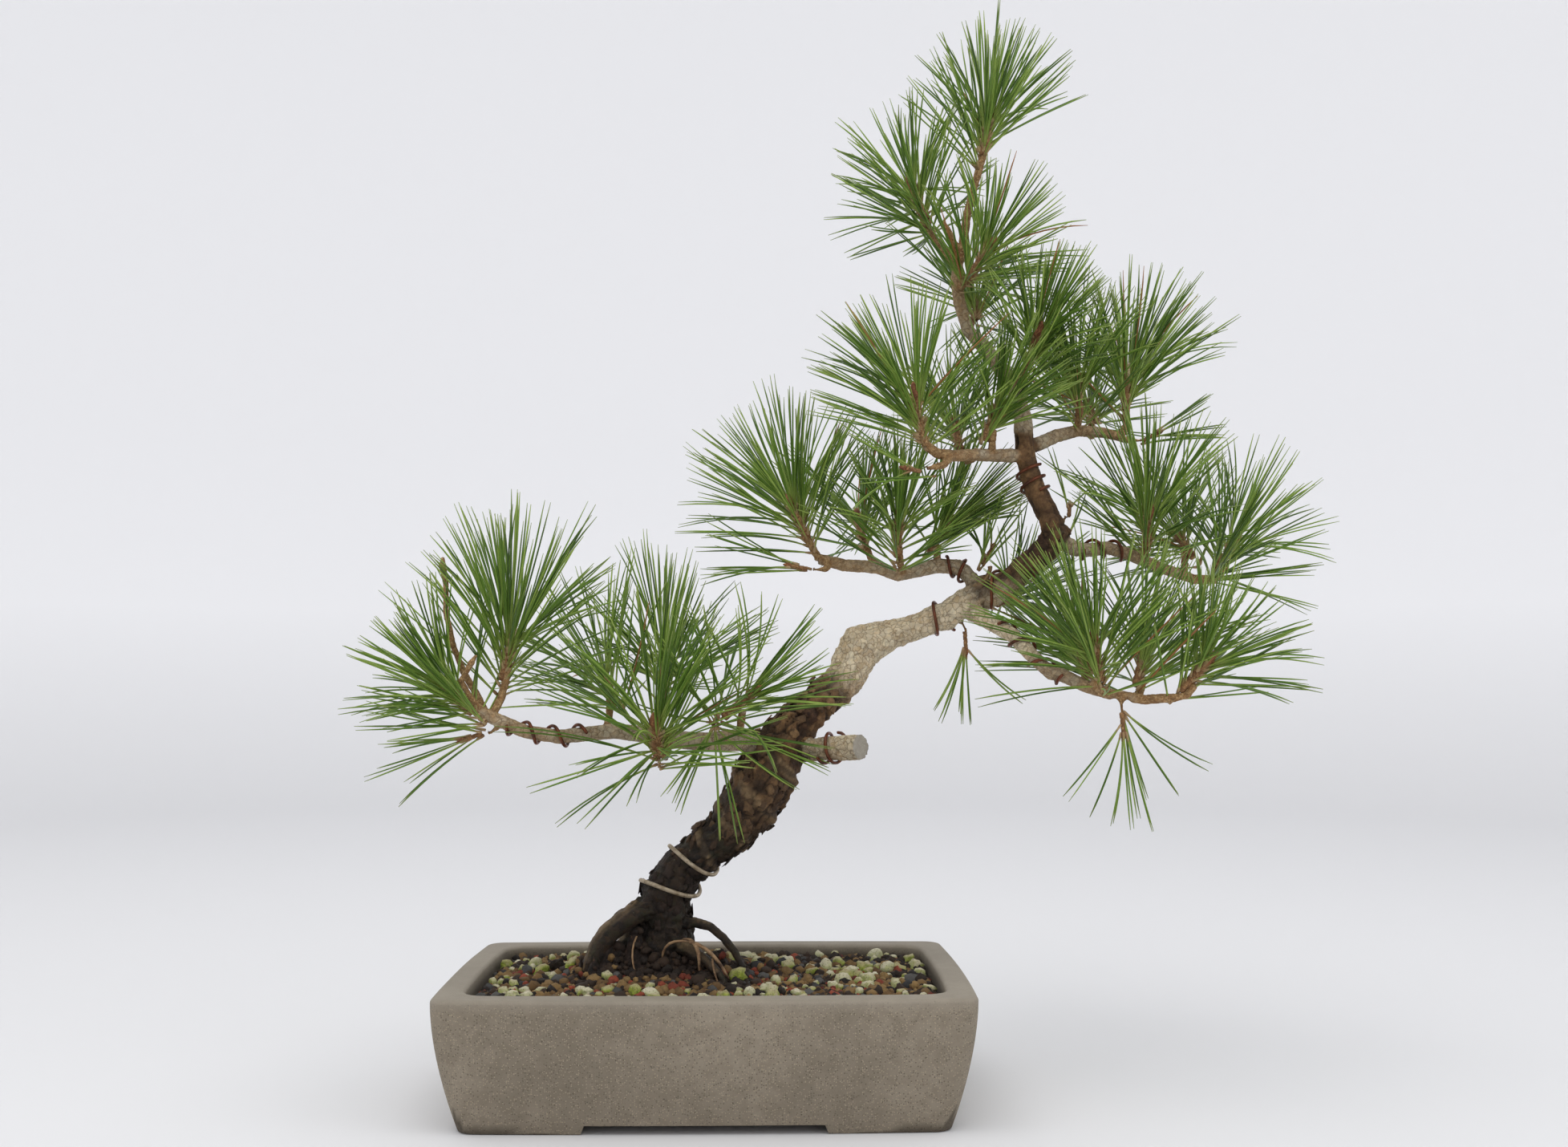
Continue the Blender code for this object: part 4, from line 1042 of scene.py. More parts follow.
def bunch_shape(node):
    """The middle of a bunch's bud, the way that it points, and the tips of its measured spikes."""
    points = np.unique(points_of(frame["nodes"][node]).round(5), axis=0)
    gaps = np.linalg.norm(points[:, None] - points[None], axis=2)
    crowded = np.argmax((gaps < BUD_REACH).sum(axis=1))
    middle = points[gaps[crowded] < BUD_REACH].mean(axis=0)
    reach = np.linalg.norm(points - middle, axis=1)
    tips = points[reach > 0.5 * reach.max()] - middle
    way = units(tips).mean(axis=0)
    return middle, way / np.linalg.norm(way), tips


BUNCHES = {node: bunch_shape(node) for node in sorted(frame["nodes"]) if node.startswith("needles_")}
counts = [len(tips) for _, _, tips in BUNCHES.values()]
print("bunches:", len(BUNCHES), "spikes each:", min(counts), "to", max(counts))

# %% [markdown]
# ## Tree: carving the bark
# Bark cracks into plates because the wood grows and the skin does not. Plates come from a cell pattern
# stretched along the trunk: the borders of its cells are pushed in and each plate gets its own height.
# Old training wire has bitten spiral swellings into the trunk, and above the middle sits a pale knob
# where a thick shoot was once removed.

# %% Zones of the wood
# Every zone is a share from 0 to 1. Limits for along, girth and height are in millimetres.
on_trunk = 1 - eased(off - girth, 3, 9)
height = (places[:, 2] - TRUNK_FOOT.z) / MM
old = eased(girth, 5.5, 9.5)
damp = old * (1 - eased(along, 90, 165)) * on_trunk + (1 - on_trunk) * (1 - eased(height, 40, 75))
KNOB = np.array(from_foot(114, -6, 219))
knob = np.exp(-((np.linalg.norm(places - KNOB, axis=1) / (12 * MM)) ** 2))
NECK = np.array(from_foot(147, 1, 229))
neck = np.exp(-((np.linalg.norm(places - NECK, axis=1) / (12.5 * MM)) ** 2)) * eased(facing[:, 2], -0.3, 0.5)
STUB_END = np.array(from_foot(120, -38, 142))
STUB_WAY = np.array(Vector((14, -13, 1)).normalized())
from_end = (STUB_END - places) @ STUB_WAY
beside_stub = np.linalg.norm(places - STUB_END + from_end[:, None] * STUB_WAY, axis=1)
stub = (1 - eased(beside_stub, 9 * MM, 13 * MM)) * (1 - eased(from_end, 18 * MM, 34 * MM))
stub *= from_end > -6 * MM
cut_face = (from_end < 1.6 * MM) * (stub > 0.5) * (facing @ STUB_WAY > 0.5)
pale = np.maximum(on_trunk * eased(along, 205, 238) * (1 - eased(along, 322, 345)), stub * 0.8)
FORK = np.array(from_foot(215, -20, 212))
pale = np.maximum(pale, 1 - eased(np.linalg.norm(places - FORK, axis=1), 22 * MM, 40 * MM))
branch = (1 - on_trunk) * eased(height, 75, 95)
pale = np.maximum(pale, 0.6 * branch)
young = (1 - eased(girth, 2.9, 4.6)) * eased(height, 60, 80)
# The low roots are painted lighter on the sides that face up and to the left, where the light falls: a
# painted highlight.
lit_side = eased(0.7 * facing[:, 2] - 0.6 * facing[:, 0], 0.2, 0.7)
lit_root_top = (1 - on_trunk) * (1 - eased(height, 45, 70)) * lit_side
thin = np.zeros(len(places))
for middle, way, tips in BUNCHES.values():
    if len(tips) <= FEWEST_SPIKES:
        back = (middle - places) @ way
        beside = np.linalg.norm(places - middle + back[:, None] * way, axis=1)
        narrow = (1 - eased(beside, 4 * MM, 7 * MM)) * (1 - eased(back, 14 * MM, 22 * MM))
        thin = np.maximum(thin, narrow * (back > -4 * MM))
print("cut face points:", int(cut_face.sum()))

# %% Carve the plates, swellings and flakes
round_it = np.column_stack([np.cos(turn) * girth, np.sin(turn) * girth, along * 0.55])
grid = np.where((on_trunk > 0.5)[:, None], round_it, (places - np.array(TRUNK_FOOT)) / MM)


def plate_pattern(place, size):
    """How deep in a crack a point is, and its plate's own height."""
    wander = noise.noise_vector(Vector(place) / (0.8 * size)) * 0.35
    distances, centres = noise.voronoi(Vector(place) / size + wander)
    return distances[1] - distances[0], noise.noise(centres[0] * 9.1)


def stack_of(rule, *arrays):
    return np.array([rule(*row) for row in zip(*arrays)])


big_plates = stack_of(lambda place: plate_pattern(place, 9.0), grid)
small_plates = stack_of(lambda place: plate_pattern(place, 3.2), grid)
broken = stack_of(lambda place: noise.noise(Vector(place) / 13 + Vector((9, 2, 4))), grid)
crack = (1 - eased(big_plates[:, 0], 0.02, 0.22)) * eased(broken, -0.3, 0.1)
wrinkle = stack_of(lambda place: noise.noise(Vector((place[0] / 16, place[1] / 16, place[2] / 2.6))), grid)
small_crack = 1 - eased(small_plates[:, 0], 0.02, 0.25)
lumps = stack_of(lambda place: noise.noise(Vector(place) / 17), grid)
ruffle = stack_of(lambda place: noise.noise(Vector(place) / 2.4), grid)
SPIRALS = [  # start and end along the trunk, pitch and depth, all in millimetres
    (78, 170, 23, 1.7),
    (190, 228, 15, 1.3),
    (330, 372, 16, 0.9),
]
swelling = np.zeros(len(places))
for low, high, pitch, size in SPIRALS:
    zone = eased(along, low, low + 12) * (1 - eased(along, high - 12, high)) * on_trunk
    wave = np.maximum(np.cos(math.tau * (along / pitch) + turn), 0) ** 1.5
    swelling += size * zone * wave
plainer = 1 - 0.75 * np.maximum(pale, knob) * (1 - 0.5 * eased(height, 0, 1))
depth = old * plainer
# Each number is how many millimetres that kind of relief stands out, or goes in where it is negative.
carved = (
    -1.8 * crack * depth
    + 1.2 * big_plates[:, 1] * depth
    + 1.7 * wrinkle * depth
    - 0.4 * small_crack * (0.35 + 0.65 * old) * (1 - 0.4 * pale)
    + 0.35 * small_plates[:, 1] * (1 - 0.3 * old)
    + 1.3 * lumps * eased(girth, 3, 10)
    + 0.45 * ruffle * (0.4 + old)
    + swelling
    + 6.4 * knob
    - 4.6 * neck
    - 1.6 * thin
)
FLAT_SHARE = 0.12  # of the relief is left on the sawn face
carved *= np.where(cut_face, FLAT_SHARE, 1.0)
places += facing * (carved * MM)[:, None]
set_points(wood, places)
dark_lines = np.maximum.reduce([crack * depth, 0.5 * small_crack, 0.8 * depth * eased(-wrinkle, 0.1, 0.35)])
ZONES = {
    "damp": damp,
    "pale": pale,
    "young": young,
    "cut": cut_face,
    "crack": dark_lines,
    # swellings and the knob, plus a painted highlight on the lit upper sides of the low roots
    "swell_and_lit_root": eased(swelling + 1.5 * knob + 1.2 * lit_root_top, 0.3, 1.4),
    "tone": big_plates[:, 1],
}
for name, values in ZONES.items():
    paint_points(wood, name, values)
print("carved from", round(carved.min(), 2), "to", round(carved.max(), 2), "mm")

# %% [markdown]
# ## Tree: bark colours
# The bark material reads the zones painted on the points. Damp old bark is near black with moss, dry
# plates are brown and grey, flaking skin is pale tan with dark brown borders, and shoots are orange
# brown. Fine flakes, too small to carve, are a cell pattern with a tone for each cell and a dark border.

# %% Flake pattern group
def make_flakes():
    tree = bpy.data.node_groups.new("flakes", "ShaderNodeTree")
    tree.interface.new_socket("Place", in_out="INPUT", socket_type="NodeSocketVector")
    for label, value in {"Scale": 300.0, "Border": 0.08}.items():
        tree.interface.new_socket(label, in_out="INPUT", socket_type="NodeSocketFloat").default_value = value
    for label in ("Edge", "Tone"):
        tree.interface.new_socket(label, in_out="OUTPUT", socket_type="NodeSocketFloat")
    given, result = tree.nodes.new("NodeGroupInput").outputs, tree.nodes.new("NodeGroupOutput").inputs
    warp = put(tree, "TexNoise", Vector=given["Place"], Scale=given["Scale"], Detail=3.0)
    shift = put(tree, "VectorMath", {"operation": "SCALE"}, Vector=warp.outputs["Color"], Scale=0.004)
    moved = put(tree, "VectorMath", {"operation": "ADD"})
    wire(tree, moved.inputs[0], given["Place"])
    wire(tree, moved.inputs[1], shift.outputs["Vector"])
    cells = put(tree, "TexVoronoi", Vector=moved.outputs["Vector"], Scale=given["Scale"])
    to_edge = {"feature": "DISTANCE_TO_EDGE"}
    borders = put(tree, "TexVoronoi", to_edge, Vector=moved.outputs["Vector"], Scale=given["Scale"])
    wire(tree, result["Edge"], stretched(tree, borders.outputs["Distance"], given["Border"], 0.0))
    wire(tree, result["Tone"], put(tree, "SeparateColor", Color=cells.outputs["Color"]).outputs["Red"])
    return tree


FLAKES = make_flakes()


def flakes(tree, place, scale, border):
    node = tree.nodes.new("ShaderNodeGroup")
    node.node_tree = FLAKES
    wire(tree, node.inputs["Place"], place)
    wire(tree, node.inputs["Scale"], scale)
    wire(tree, node.inputs["Border"], border)
    return node.outputs["Edge"], node.outputs["Tone"]


print("group:", FLAKES.name)

# %% Bark material
def bark_material():
    look, tree, shader, place = new_material("pine_bark")
    zones = {name: attribute(tree, name) for name in ZONES}
    edge, tone = flakes(tree, place, 260.0, 0.09)
    fine_edge, fine_tone = flakes(tree, place, 640.0, 0.12)
    blotch = patches(tree, place, scale=70.0, level=0.5, softness=0.1)
    speck = patches(tree, place, scale=420.0, level=0.5, softness=0.1)
    moss = patches(tree, place, scale=120.0, level=0.56, softness=0.06)
    lichen = flecks(tree, place, scale=210.0, size=0.2, share=0.08)

    big_tone = stretched(tree, zones["tone"], -0.4, 0.4, 0.0, 0.6)
    plate = reckoned(tree, "ADD", big_tone, stretched(tree, tone, 0.0, 1.0, 0.0, 0.4))
    dry = mixed(tree, plate, paint("3d2416"), paint("9b754c"))
    dry = stained(tree, dry, blotch, 0.5, "2b1a10")
    skin = mixed(tree, tone, paint("f4e4c2"), paint("d6bb92"))
    skin = stained(tree, skin, speck, 0.5, "ece0c8")
    skin = stained(tree, skin, edge, 0.6, "6b4a2c")
    shoot = mixed(tree, fine_tone, paint("9a7044"), paint("c7a473"))
    shoot = stained(tree, shoot, fine_edge, 0.5, "4e3420")
    wet = mixed(tree, tone, paint("150e06"), paint("3d2b17"))
    wet = stained(tree, wet, moss, 0.6, "2b2c0d")
    wet = stained(tree, wet, lichen, 0.6, "8c8268")

    colour = mixed(tree, zones["pale"], dry, skin)
    colour = mixed(tree, zones["damp"], colour, wet)
    # Swellings and the knob are painted a paler tan. The lit upper sides of the low roots get the same tan
    # as a painted highlight.
    ridge_and_root_highlight = product(tree, zones["swell_and_lit_root"], stretched(tree, blotch, 0.0, 1.0, 0.25, 0.7))
    colour = mixed(tree, ridge_and_root_highlight, colour, paint("a58a64"))
    colour = mixed(tree, zones["young"], colour, shoot)
    dark_gap = product(tree, zones["crack"], stretched(tree, zones["pale"], 0.0, 1.0, 0.85, 0.4))
    colour = mixed(tree, dark_gap, colour, paint("1c130c"))
    rings = put(tree, "TexNoise", Vector=place, Scale=300.0, Detail=4.0).outputs["Fac"]
    colour = mixed(tree, zones["cut"], colour, mixed(tree, rings, paint("8f877a"), paint("b9b2a4")))
    surface(tree, shader, colour, stretched(tree, zones["damp"], 0.0, 1.0, 0.88, 0.62))
    relief = reckoned(tree, "SUBTRACT", product(tree, speck, 0.5), reckoned(tree, "ADD", edge, fine_edge))
    bump = put(tree, "Bump", Height=relief, Strength=0.55, Distance=0.0007)
    wire(tree, shader.inputs["Normal"], bump.outputs["Normal"])
    return look


BARK = bark_material()
hand_over(wood, BARK, "bark", "tree")
WOOD_TREE = surface_tree(wood)

# %% [markdown]
# ## Loose bark flakes
# Plates that have come half off stand proud of the trunk and break up its outline. Carving cannot give
# a plate with air behind it, so a few template flakes are modelled from a flattened block and laid on
# the old bark, each tipped a little.

# %% Bark flakes
def template_flake(seed):
    clear_selection()
    bpy.ops.mesh.primitive_cube_add(size=1, location=(0, 0, 0))
    flake = bpy.context.object
    bpy.ops.object.mode_set(mode="EDIT")
    bpy.ops.mesh.subdivide(number_cuts=2)
    bpy.ops.object.mode_set(mode="OBJECT")
    for vertex in flake.data.vertices:
        push = noise.noise_vector(vertex.co * 2.3 + Vector((seed * 5.1, seed * 2.7, 0)))
        thin = 0.16 - 0.1 * min(vertex.co.xy.length, 1)
        vertex.co.z = vertex.co.z * thin * 2 - 0.35 * vertex.co.x**2 * (seed % 2 + 0.4)
        vertex.co.xy += push.xy * 0.45
    return taken_shape(flake)


SEGMENT_ENDS = [30, 66, 102, 140, 182, 226, 252, 292]  # rough millimetres along the trunk's line
FLAKES_TRIED = 400
FLAKE_SIZES = ((3, 5.5), (3.5, 8), (2.5, 5))  # least and most millimetres across, along and thick


def flake_placings(count):
    on_old_bark = (old > 0.7) & (on_trunk > 0.7) & (along > 25) & (along < 300)
    fit = np.flatnonzero(on_old_bark & (crack < 0.6) & ~cut_face)
    placings = []
    for _ in range(count):
        index = DICE.choice(fit)
        if pale[index] > 0.35:
            continue
        normal = Vector(facing[index])
        segment = int(np.searchsorted(SEGMENT_ENDS, along[index]))
        up = (trunk_points[segment + 1] - trunk_points[segment]).normalized()
        side = up.cross(normal).normalized()
        tip = Matrix.Rotation(DICE.uniform(-0.25, 0.35), 3, side)
        tip = tip @ Matrix.Rotation(DICE.uniform(-0.7, 0.7), 3, normal)
        frame_turn = Matrix((side, normal.cross(side), normal)).transposed()
        size = Matrix.Diagonal([DICE.uniform(low, high) * MM for low, high in FLAKE_SIZES])
        place = Vector(places[index]) + normal * DICE.uniform(0.0, 0.5) * MM
        placings.append((place, tip @ frame_turn @ size, DICE.random()))
    return placings


def flake_material():
    look, tree, shader, place = new_material("flaking_bark")
    tint = attribute(tree, "tint")
    low = put(tree, "SeparateXYZ", Vector=place).outputs["Z"]
    dry = stretched(tree, low, TRUNK_FOOT.z + 0.06, TRUNK_FOOT.z + 0.15)
    dark = mixed(tree, tint, paint("150f0a"), paint("33241a"))
    light = mixed(tree, tint, paint("46301f"), paint("93724c"))
    colour = mixed(tree, dry, dark, light)
    speck = patches(tree, place, scale=520.0, level=0.5, softness=0.12)
    colour = stained(tree, colour, speck, 0.4, "2b1d12")
    surface(tree, shader, colour, 0.85)
    roughen(tree, shader, place, scale=900.0, strength=0.7, depth=0.0006)
    return look


FLAKE_SHAPES = [template_flake(seed) for seed in range(4)]
hand_over(copies_piece("bark_flakes", FLAKE_SHAPES, flake_placings(FLAKES_TRIED)), flake_material(), "bark")

# %% [markdown]
# ## Needles
# The tree is a two-needled pine: long stiff needles in pairs, each pair in a papery brown sheath, set
# all round the end of a shoot. Hair particles would be quick, but they don't leave a mesh behind. So one
# needle is modelled as a thin three-sided spike in seven lengths, and every copy is bent along its own
# curve. Each measured bunch gives its middle, its way and the reach of its needles.

# %% Template needle and sheath
def template_spike(sides, widths):
    """A closed spike up Z, one unit long, whose width at each ring is given."""
    clear_selection()
    bpy.ops.mesh.primitive_circle_add(vertices=sides, radius=widths[0], fill_type="NGON", location=(0, 0, 0))
    spike = bpy.context.object
    bpy.ops.object.mode_set(mode="EDIT")
    bpy.ops.mesh.select_all(action="SELECT")
    rise = 1 / (len(widths) - 1)
    for before, after in zip(widths, widths[1:]):
        bpy.ops.mesh.extrude_region_move(TRANSFORM_OT_translate={"value": (0, 0, rise)})
        bpy.ops.transform.resize(value=(after / before, after / before, 1), center_override=(0, 0, 0))
    finish_edit()
    return taken_shape(spike)


NEEDLE = template_spike(3, (0.8, 0.95, 1.0, 1.0, 1.0, 0.95, 0.85, 0.3))
SHEATH = template_spike(4, (1.0, 1.15, 0.9, 0.75))
print("needle faces:", len(NEEDLE[1]), "sheath faces:", len(SHEATH[1]))

# %% Bend copies along curves
def curved_copies(template, starts, middles, ends, radii, turns):
    """Copies of an upright template, each bent along a curve from its start, by its middle, to its end."""
    shape, faces = template
    share = shape[None, :, 2:3]
    spine = (1 - share) ** 2 * starts[:, None] + 2 * share * (1 - share) * middles[:, None]
    spine = spine + share**2 * ends[:, None]
    way = ends - starts
    way /= np.linalg.norm(way, axis=1)[:, None]
    side = np.cross(way, np.column_stack([np.cos(turns), np.sin(turns), 0.3 + 0 * turns]))
    side /= np.linalg.norm(side, axis=1)[:, None]
    third = np.cross(way, side)
    across = shape[None, :, 0:1] * side[:, None] + shape[None, :, 1:2] * third[:, None]
    points = spine + across * radii[:, None, None]
    return points, faces, np.broadcast_to(shape[None, :, 2], points.shape[:2])


def curved_piece(name, batches, tints):
    """One piece from batches of bent copies, with how far along and a tint painted on its points."""
    points, faces, share, tone, start = [], [], [], [], 0
    for (batch, batch_faces, along_it), batch_tints in zip(batches, tints):
        size = batch.shape[1]
        for copy in range(len(batch)):
            faces += [tuple(corner + start for corner in face) for face in batch_faces]
            start += size
        points.append(batch.reshape(-1, 3))
        share.append(along_it.reshape(-1))
        tone.append(np.repeat(batch_tints, size))
    piece = new_piece(name, points, faces)
    paint_points(piece, "along", np.concatenate(share))
    paint_points(piece, "tint", np.concatenate(tone))
    return piece


print("bending helpers ready")

# %% Grow the needles of each bunch
PAIRS_PER_SPIKE = 1.15
FEWEST_PAIRS = 52  # on a full bunch
PAIRS_PER_SPARSE_SPIKE = 0.6
NEEDLE_RADIUS = 0.63 * MM
SHOOT_BELOW = 26 * MM  # how far needles reach back along the shoot


def needle_curves(middle, way, tips, dice):
    """Starts, middles and ends of the needle pairs of one bunch."""
    full = len(tips) > FEWEST_SPIKES
    count = int((PAIRS_PER_SPIKE if full else PAIRS_PER_SPARSE_SPIKE) * len(tips))
    if full:
        count = max(count, FEWEST_PAIRS)
    picked = dice.integers(0, len(tips), count)
    gaps = np.linalg.norm(units(tips)[:, None] - units(tips)[None], axis=2)
    near = np.argsort(gaps, axis=1)[:, 1:4]
    other = tips[near[picked, dice.integers(0, min(3, len(tips) - 1), count)]]
    reach = tips[picked] + (other - tips[picked]) * dice.uniform(0, 0.6, count)[:, None]
    length = np.linalg.norm(tips[picked], axis=1) * dice.uniform(0.88, 1.04, count)
    heading = units(units(reach) + dice.normal(0, 0.11 if full else 0.22, (count, 3)))
    forward = heading @ way
    back = -SHOOT_BELOW + (SHOOT_BELOW + 4 * MM) * np.clip(forward + dice.normal(0, 0.32, count), 0, 1)
    outward = units(heading - forward[:, None] * way + 1e-6)
    starts = middle + back[:, None] * way + outward * 1.6 * MM
    ends = 0.5 * (starts + middle) + heading * length[:, None]
    lean = units(0.22 * way + heading + dice.normal(0, 0.06, (count, 3)))
    bends = starts + lean * (length * dice.uniform(0.4, 0.55, count))[:, None]
    return starts, bends, ends, units(np.cross(heading, dice.normal(0, 1, (count, 3))))


def clear_of_wood(starts, ends):
    """Which needles reach their tips without going through the wood."""
    kept = []
    for start, end in zip(starts, ends):
        first = Vector(start).lerp(Vector(end), 0.3)
        way = Vector(end) - first
        kept.append(WOOD_TREE.ray_cast(first, way.normalized(), way.length)[0] is None)
    return np.array(kept)


SHEATH_CURVES = []
NEEDLE_MESHES = {}
for number, (node, (middle, way, tips)) in enumerate(BUNCHES.items()):
    dice = np.random.default_rng(100 + number)
    starts, bends, ends, apart = needle_curves(middle, way, tips, dice)
    kept = clear_of_wood(starts, ends)
    starts, bends, ends, apart = starts[kept], bends[kept], ends[kept], apart[kept]
    batches, tints = [], []
    for sign in (-1, 1):
        spread = apart * (sign * dice.uniform(0.8, 3.2, len(starts)) * MM)[:, None]
        radii = NEEDLE_RADIUS * dice.uniform(0.85, 1.1, len(starts))
        turns = dice.uniform(0, math.tau, len(starts))
        batches.append(curved_copies(NEEDLE, starts, bends + spread * 0.3, ends + spread, radii, turns))
        tints.append(dice.uniform(0, 1, len(starts)))
    NEEDLE_MESHES[node] = curved_piece(node.replace("needles_", "pine_needles_"), batches, tints)
    heading = units(bends - starts)
    SHEATH_CURVES.append((starts - heading * 0.8 * MM, heading, dice.uniform(3.5, 6.5, len(starts)) * MM))
print("needles:", sum(2 * len(starts) for starts, _, _ in SHEATH_CURVES))

# %% [markdown]
# ## Needle finish
# A pine needle is yellow green where it leaves the sheath, deep green along its length and paler at
# the tip. No two are alike, some are bluer, and a few old ones have turned brown. A waxy skin gives them
# a soft shine.

# %% Needle material
def needle_material():
    look, tree, shader, place = new_material("pine_needle")
    share, tint = attribute(tree, "along"), attribute(tree, "tint")
    green = mixed(tree, stretched(tree, tint, 0.0, 0.5), paint("45611c"), paint("688a2d"))
    green = mixed(tree, stretched(tree, tint, 0.5, 0.95), green, paint("9bb552"))
    green = mixed(tree, stretched(tree, share, 0.3, 0.02), green, paint("b1c263"))
    green = mixed(tree, stretched(tree, share, 0.8, 1.0, 0.0, 0.7), green, paint("9ba758"))
    streak = patches(tree, place, scale=240.0, level=0.5, softness=0.2)
    green = stained(tree, green, streak, 0.25, "2f4f1c")
    green = mixed(tree, reckoned(tree, "GREATER_THAN", tint, 0.99), green, paint("9a6a3c"))
    surface(tree, shader, green, stretched(tree, tint, 0.0, 1.0, 0.42, 0.58))
    shader.inputs["Specular IOR Level"].default_value = 0.35
    return look


NEEDLE_LOOK = needle_material()
for node, piece in NEEDLE_MESHES.items():
    hand_over(piece, NEEDLE_LOOK, "needle", node)

# %% Sheaths
def sheath_material():
    look, tree, shader, place = new_material("papery_sheath")
    share, tint = attribute(tree, "along"), attribute(tree, "tint")
    colour = mixed(tree, tint, paint("8a6a44"), paint("bda07a"))
    colour = mixed(tree, stretched(tree, share, 0.4, 1.0, 0.0, 0.6), colour, paint("97955a"))
    surface(tree, shader, colour, 0.8)
    roughen(tree, shader, place, scale=1600.0, strength=0.5, depth=0.0003)
    return look


def make_sheaths():
    batches, tints = [], []
    dice = np.random.default_rng(77)
    for starts, heading, length in SHEATH_CURVES:
        ends = starts + heading * length[:, None]
        radii = dice.uniform(0.75, 1.0, len(starts)) * MM
        turns = dice.uniform(0, math.tau, len(starts))
        batches.append(curved_copies(SHEATH, starts, (starts + ends) / 2, ends, radii, turns))
        tints.append(dice.uniform(0, 1, len(starts)))
    return curved_piece("needle_sheaths", batches, tints)


hand_over(make_sheaths(), sheath_material(), "needle")

# %% [markdown]
# ## Shoot ends and winter buds
# Each bunch grows on a scaly shoot that ends in a pointed bud of overlapping brown scales. One shoot is
# modelled: a ring of ten points is extruded and resized up the stem and round the bud, and every other
# point is pushed out in turn, row by row, so that the scales overlap like tiles.

# %% Template shoot
SHOOT_RINGS = [
    (-17, 2.3), (-15, 2.7), (-13, 2.3), (-11, 2.6), (-9, 2.2), (-7, 2.5), (-5, 2.2), (-3, 2.5), (-1, 2.2),
    (1, 2.4), (3, 2.1), (5, 2.3), (6, 2.6), (8, 2.8), (10, 2.5), (12, 2.0), (14, 1.3), (16, 0.4),
]
SHOOT_SIDES = 10
SCALE_STEP = 0.45 * MM


def template_shoot():
    clear_selection()
    low, radius = SHOOT_RINGS[0]
    bpy.ops.mesh.primitive_circle_add(
        vertices=SHOOT_SIDES, radius=radius * MM, fill_type="NGON", location=(0, 0, low * MM)
    )
    shoot = bpy.context.object
    bpy.ops.object.mode_set(mode="EDIT")
    bpy.ops.mesh.select_all(action="SELECT")
    for (low, radius), (high, next_radius) in zip(SHOOT_RINGS, SHOOT_RINGS[1:]):
        bpy.ops.mesh.extrude_region_move(TRANSFORM_OT_translate={"value": (0, 0, (high - low) * MM)})
        wider = next_radius / radius
        bpy.ops.transform.resize(value=(wider, wider, 1), center_override=(0, 0, 0))
        bpy.ops.transform.rotate(value=math.pi / SHOOT_SIDES, orient_axis="Z", center_override=(0, 0, 0))
    finish_edit()
    settle(shoot)
    for index, vertex in enumerate(shoot.data.vertices):
        if index % 2 and vertex.co.z < 15 * MM:
            vertex.co += Vector((vertex.co.x, vertex.co.y, 0)).normalized() * SCALE_STEP
    return taken_shape(shoot)


def shoot_placings():
    placings = []
    for middle, way, tips in BUNCHES.values():
        turn = Vector(way).to_track_quat("Z", "Y").to_matrix()
        size = 0.5 if len(tips) <= FEWEST_SPIKES else 1.0
        placings.append((middle, turn @ Matrix.Rotation(DICE.uniform(0, 6), 3, "Z") * size, DICE.random()))
    return placings


def shoot_material():
    look, tree, shader, place = new_material("scaly_shoot")
    tint, share = attribute(tree, "tint"), attribute(tree, "bud")
    edge, tone = flakes(tree, place, 520.0, 0.12)
    stem = mixed(tree, tone, paint("7d5432"), paint("b08658"))
    bud = mixed(tree, tone, paint("6d3a20"), paint("a8714a"))
    bud = mixed(tree, reckoned(tree, "GREATER_THAN", tint, 0.85), bud, paint("cdbd93"))
    colour = mixed(tree, share, stem, bud)
    colour = stained(tree, colour, edge, 0.6, "3f2816")
    surface(tree, shader, colour, 0.75)
    bump = put(tree, "Bump", Height=edge, Strength=0.5, Distance=0.0005)
    wire(tree, shader.inputs["Normal"], bump.outputs["Normal"])
    return look


SHOOT = template_shoot()
shoots = copies_piece("shoot_ends", [SHOOT], shoot_placings())
paint_points(shoots, "bud", np.tile(eased(SHOOT[0][:, 2], 4 * MM, 7 * MM), len(BUNCHES)))
hand_over(shoots, shoot_material(), "bark")

# %% [markdown]
# ## Rootlets
# In front of the trunk a few thin roots have been washed bare. They are bent copies of the same kind of
# spike as the needles, thicker and with six sides, from the wood down into the soil.

# %% Rootlets
ROOTLET = template_spike(6, (1.0, 1.1, 0.95, 1.0, 0.9, 0.8, 0.55))
ROOTLETS = [  # start, middle and end from the trunk's foot, and the radius, all in millimetres
    ((-1, -24, 12), (-1, -32, 28), (17, -29, 24), 0.9),
    ((12, -24, 25), (23, -33, 27), (22, -36, 8), 1.3),
    ((16, -29, 24), (30, -33, 22), (40, -40, 4), 1.2),
    ((30, -34, 15), (30, -40, 10), (34, -42, 1), 0.7),
    ((-17, -20, 26), (-22, -28, 16), (-15, -32, 2), 0.6),
]


def rootlet_material():
    look, tree, shader, place = new_material("rootlet")
    tone = patches(tree, place, scale=260.0, level=0.5, softness=0.15)
    colour = mixed(tree, tone, paint("8a6a4c"), paint("a98a66"))
    dirt = patches(tree, place, scale=110.0, level=0.55, softness=0.08)
    colour = mixed(tree, dirt, colour, paint("4a3423"))
    surface(tree, shader, colour, 0.8)
    roughen(tree, shader, place, scale=900.0, strength=0.6, depth=0.0004)
    return look


marks = [np.array([from_foot(*row[index]) for row in ROOTLETS]) for index in range(3)]
radii = np.array([row[3] for row in ROOTLETS]) * MM
turns = np.arange(len(ROOTLETS)) * 1.3
bent = curved_copies(ROOTLET, *marks, radii, turns)
rootlets = curved_piece("surface_rootlets", [bent], [radii * 0])
hand_over(rootlets, rootlet_material(), "bark")

# %% [markdown]
# ## Training wires
# The wires are soft aluminium, wound on while bendable: thick dull wire on the trunk, thinner wire with
# a copper brown skin on the branches. The measured wires have the right path, but only a few sides, so
# each copy is joined up and smoothed with a subdivision surface.

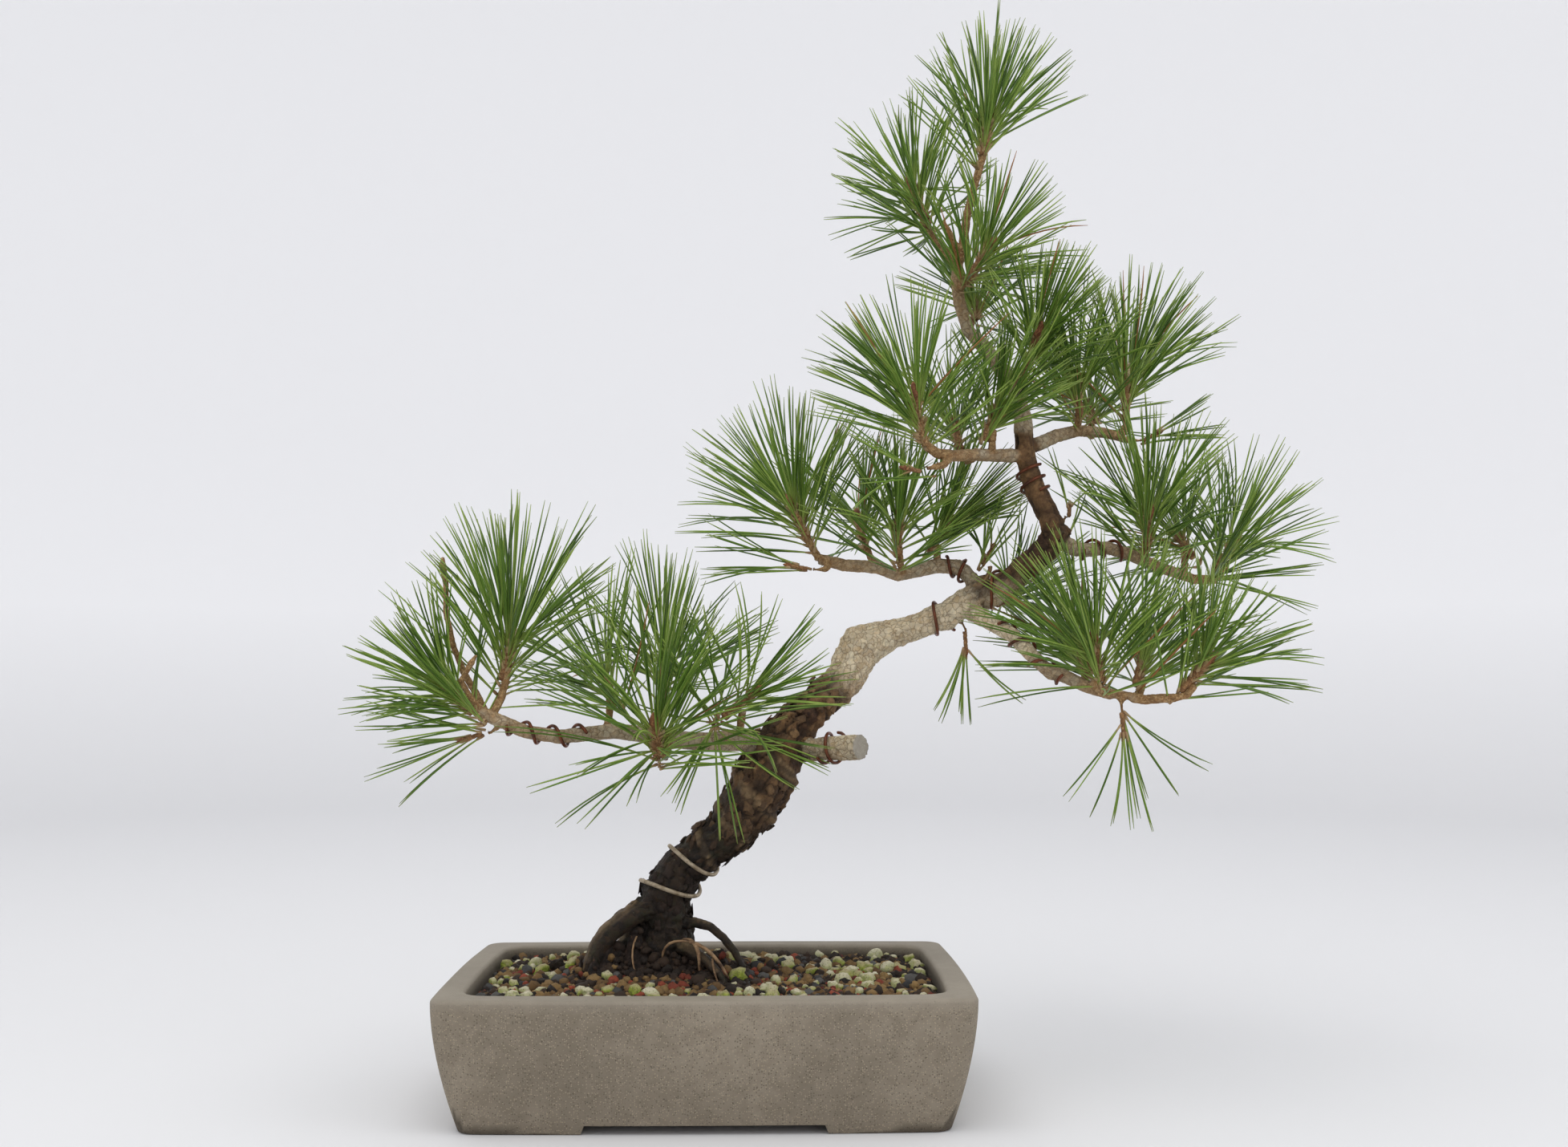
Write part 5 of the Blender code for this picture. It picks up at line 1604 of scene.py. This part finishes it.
# %% Wires
def wire_material(name, light, dark, roughness, metallic):
    look, tree, shader, place = new_material(name)
    worn = patches(tree, place, scale=160.0, level=0.55, softness=0.1)
    dirt = flecks(tree, place, scale=520.0, size=0.35, share=0.2)
    colour = mixed(tree, worn, paint(light), paint(dark))
    colour = stained(tree, colour, dirt, 0.5, "4a3826")
    surface(tree, shader, colour, stretched(tree, worn, 0.0, 1.0, roughness, roughness + 0.2))
    shader.inputs["Metallic"].default_value = metallic
    roughen(tree, shader, place, scale=600.0, strength=0.2, depth=0.0002)
    return look


def smooth_copy(node, name, look, slot, levels=2):
    copy = merged_copy(node, name)
    apply_modifier(copy, "SUBSURF", levels=levels, render_levels=levels)
    copy.data.shade_smooth()
    return hand_over(copy, look, slot, node)


PALE_WIRE = wire_material("dull_aluminium", "b3a48c", "8d7c64", 0.5, 0.35)
BROWN_WIRE = wire_material("copper_brown_aluminium", "6e3a20", "4b2a1a", 0.36, 0.45)
smooth_copy("trunk_wire", "trunk_winding", PALE_WIRE, "pale_wire")
for node in ("low_left", "stub", "fork", "upper_trunk", "high_trunk", "mid_left", "low_right", "right"):
    smooth_copy(f"{node}_wire", f"{node}_winding", BROWN_WIRE, "brown_wire")

# %% [markdown]
# ## Stones and chips that lie loose
# Four larger pumice stones and two chips of dark bark lie on top. Each is measured, so it is a copy,
# remeshed and lumped up by noise.

# %% Loose pieces
def lumped_copy(node, name, look, slot, cell, depth, scale):
    copy = merged_copy(node, name)
    copy.data.remesh_voxel_size = cell
    bpy.ops.object.voxel_remesh()
    points, away = points_of(copy), normals_of(copy)
    push = layered_noise(points, ((1.0, scale), (0.5, scale * 2.7)))
    set_points(copy, points + away * (push * depth)[:, None])
    copy.data.shade_smooth()
    paint_points(copy, "tint", np.full(len(points), 0.25))
    return hand_over(copy, look, slot, node)


CHIP_LOOK = grain_material("dark_bark_chip", "17100a", "2e2117", "3d2c1d", 0.9)
for number in range(1, 5):
    lumped_copy(f"pumice_stone_{number}", f"pumice_{number}", PUMICE, "pumice", 0.5 * MM, 0.6 * MM, 330)
for side in ("left", "right"):
    lumped_copy(f"bark_chip_{side}", f"chip_{side}", CHIP_LOOK, "bark_chip", 0.5 * MM, 1.1 * MM, 300)

# %% [markdown]
# ## Drainage fittings
# Under the soil a square of plastic mesh covers each drain hole, held by a bent wire clip, and a tie
# wire holds the tree down. They are hidden from the front, but the underside shows them.

# %% Fitting materials
def mesh_plastic():
    look, tree, shader, place = new_material("green_plastic_mesh")
    dust = patches(tree, place, scale=300.0, level=0.5, softness=0.15)
    wire(tree, shader.inputs["Base Color"], mixed(tree, dust, paint("2c3a2c"), paint("4a4a3a")))
    wire(tree, shader.inputs["Roughness"], stretched(tree, dust, 0.0, 1.0, 0.45, 0.8))
    return look


PLASTIC = mesh_plastic()
SCREENS = ("drainage_screen_left", "drainage_screen_right")
FITTINGS = (*SCREENS, "screen_clip_left", "screen_clip_right", "tie_down_wire")
for node in FITTINGS:
    look = PLASTIC if node in SCREENS else PALE_WIRE
    frame["nodes"][node].data.materials.clear()
    frame["nodes"][node].data.materials.append(look)
    print(node, "finished in", look.name)
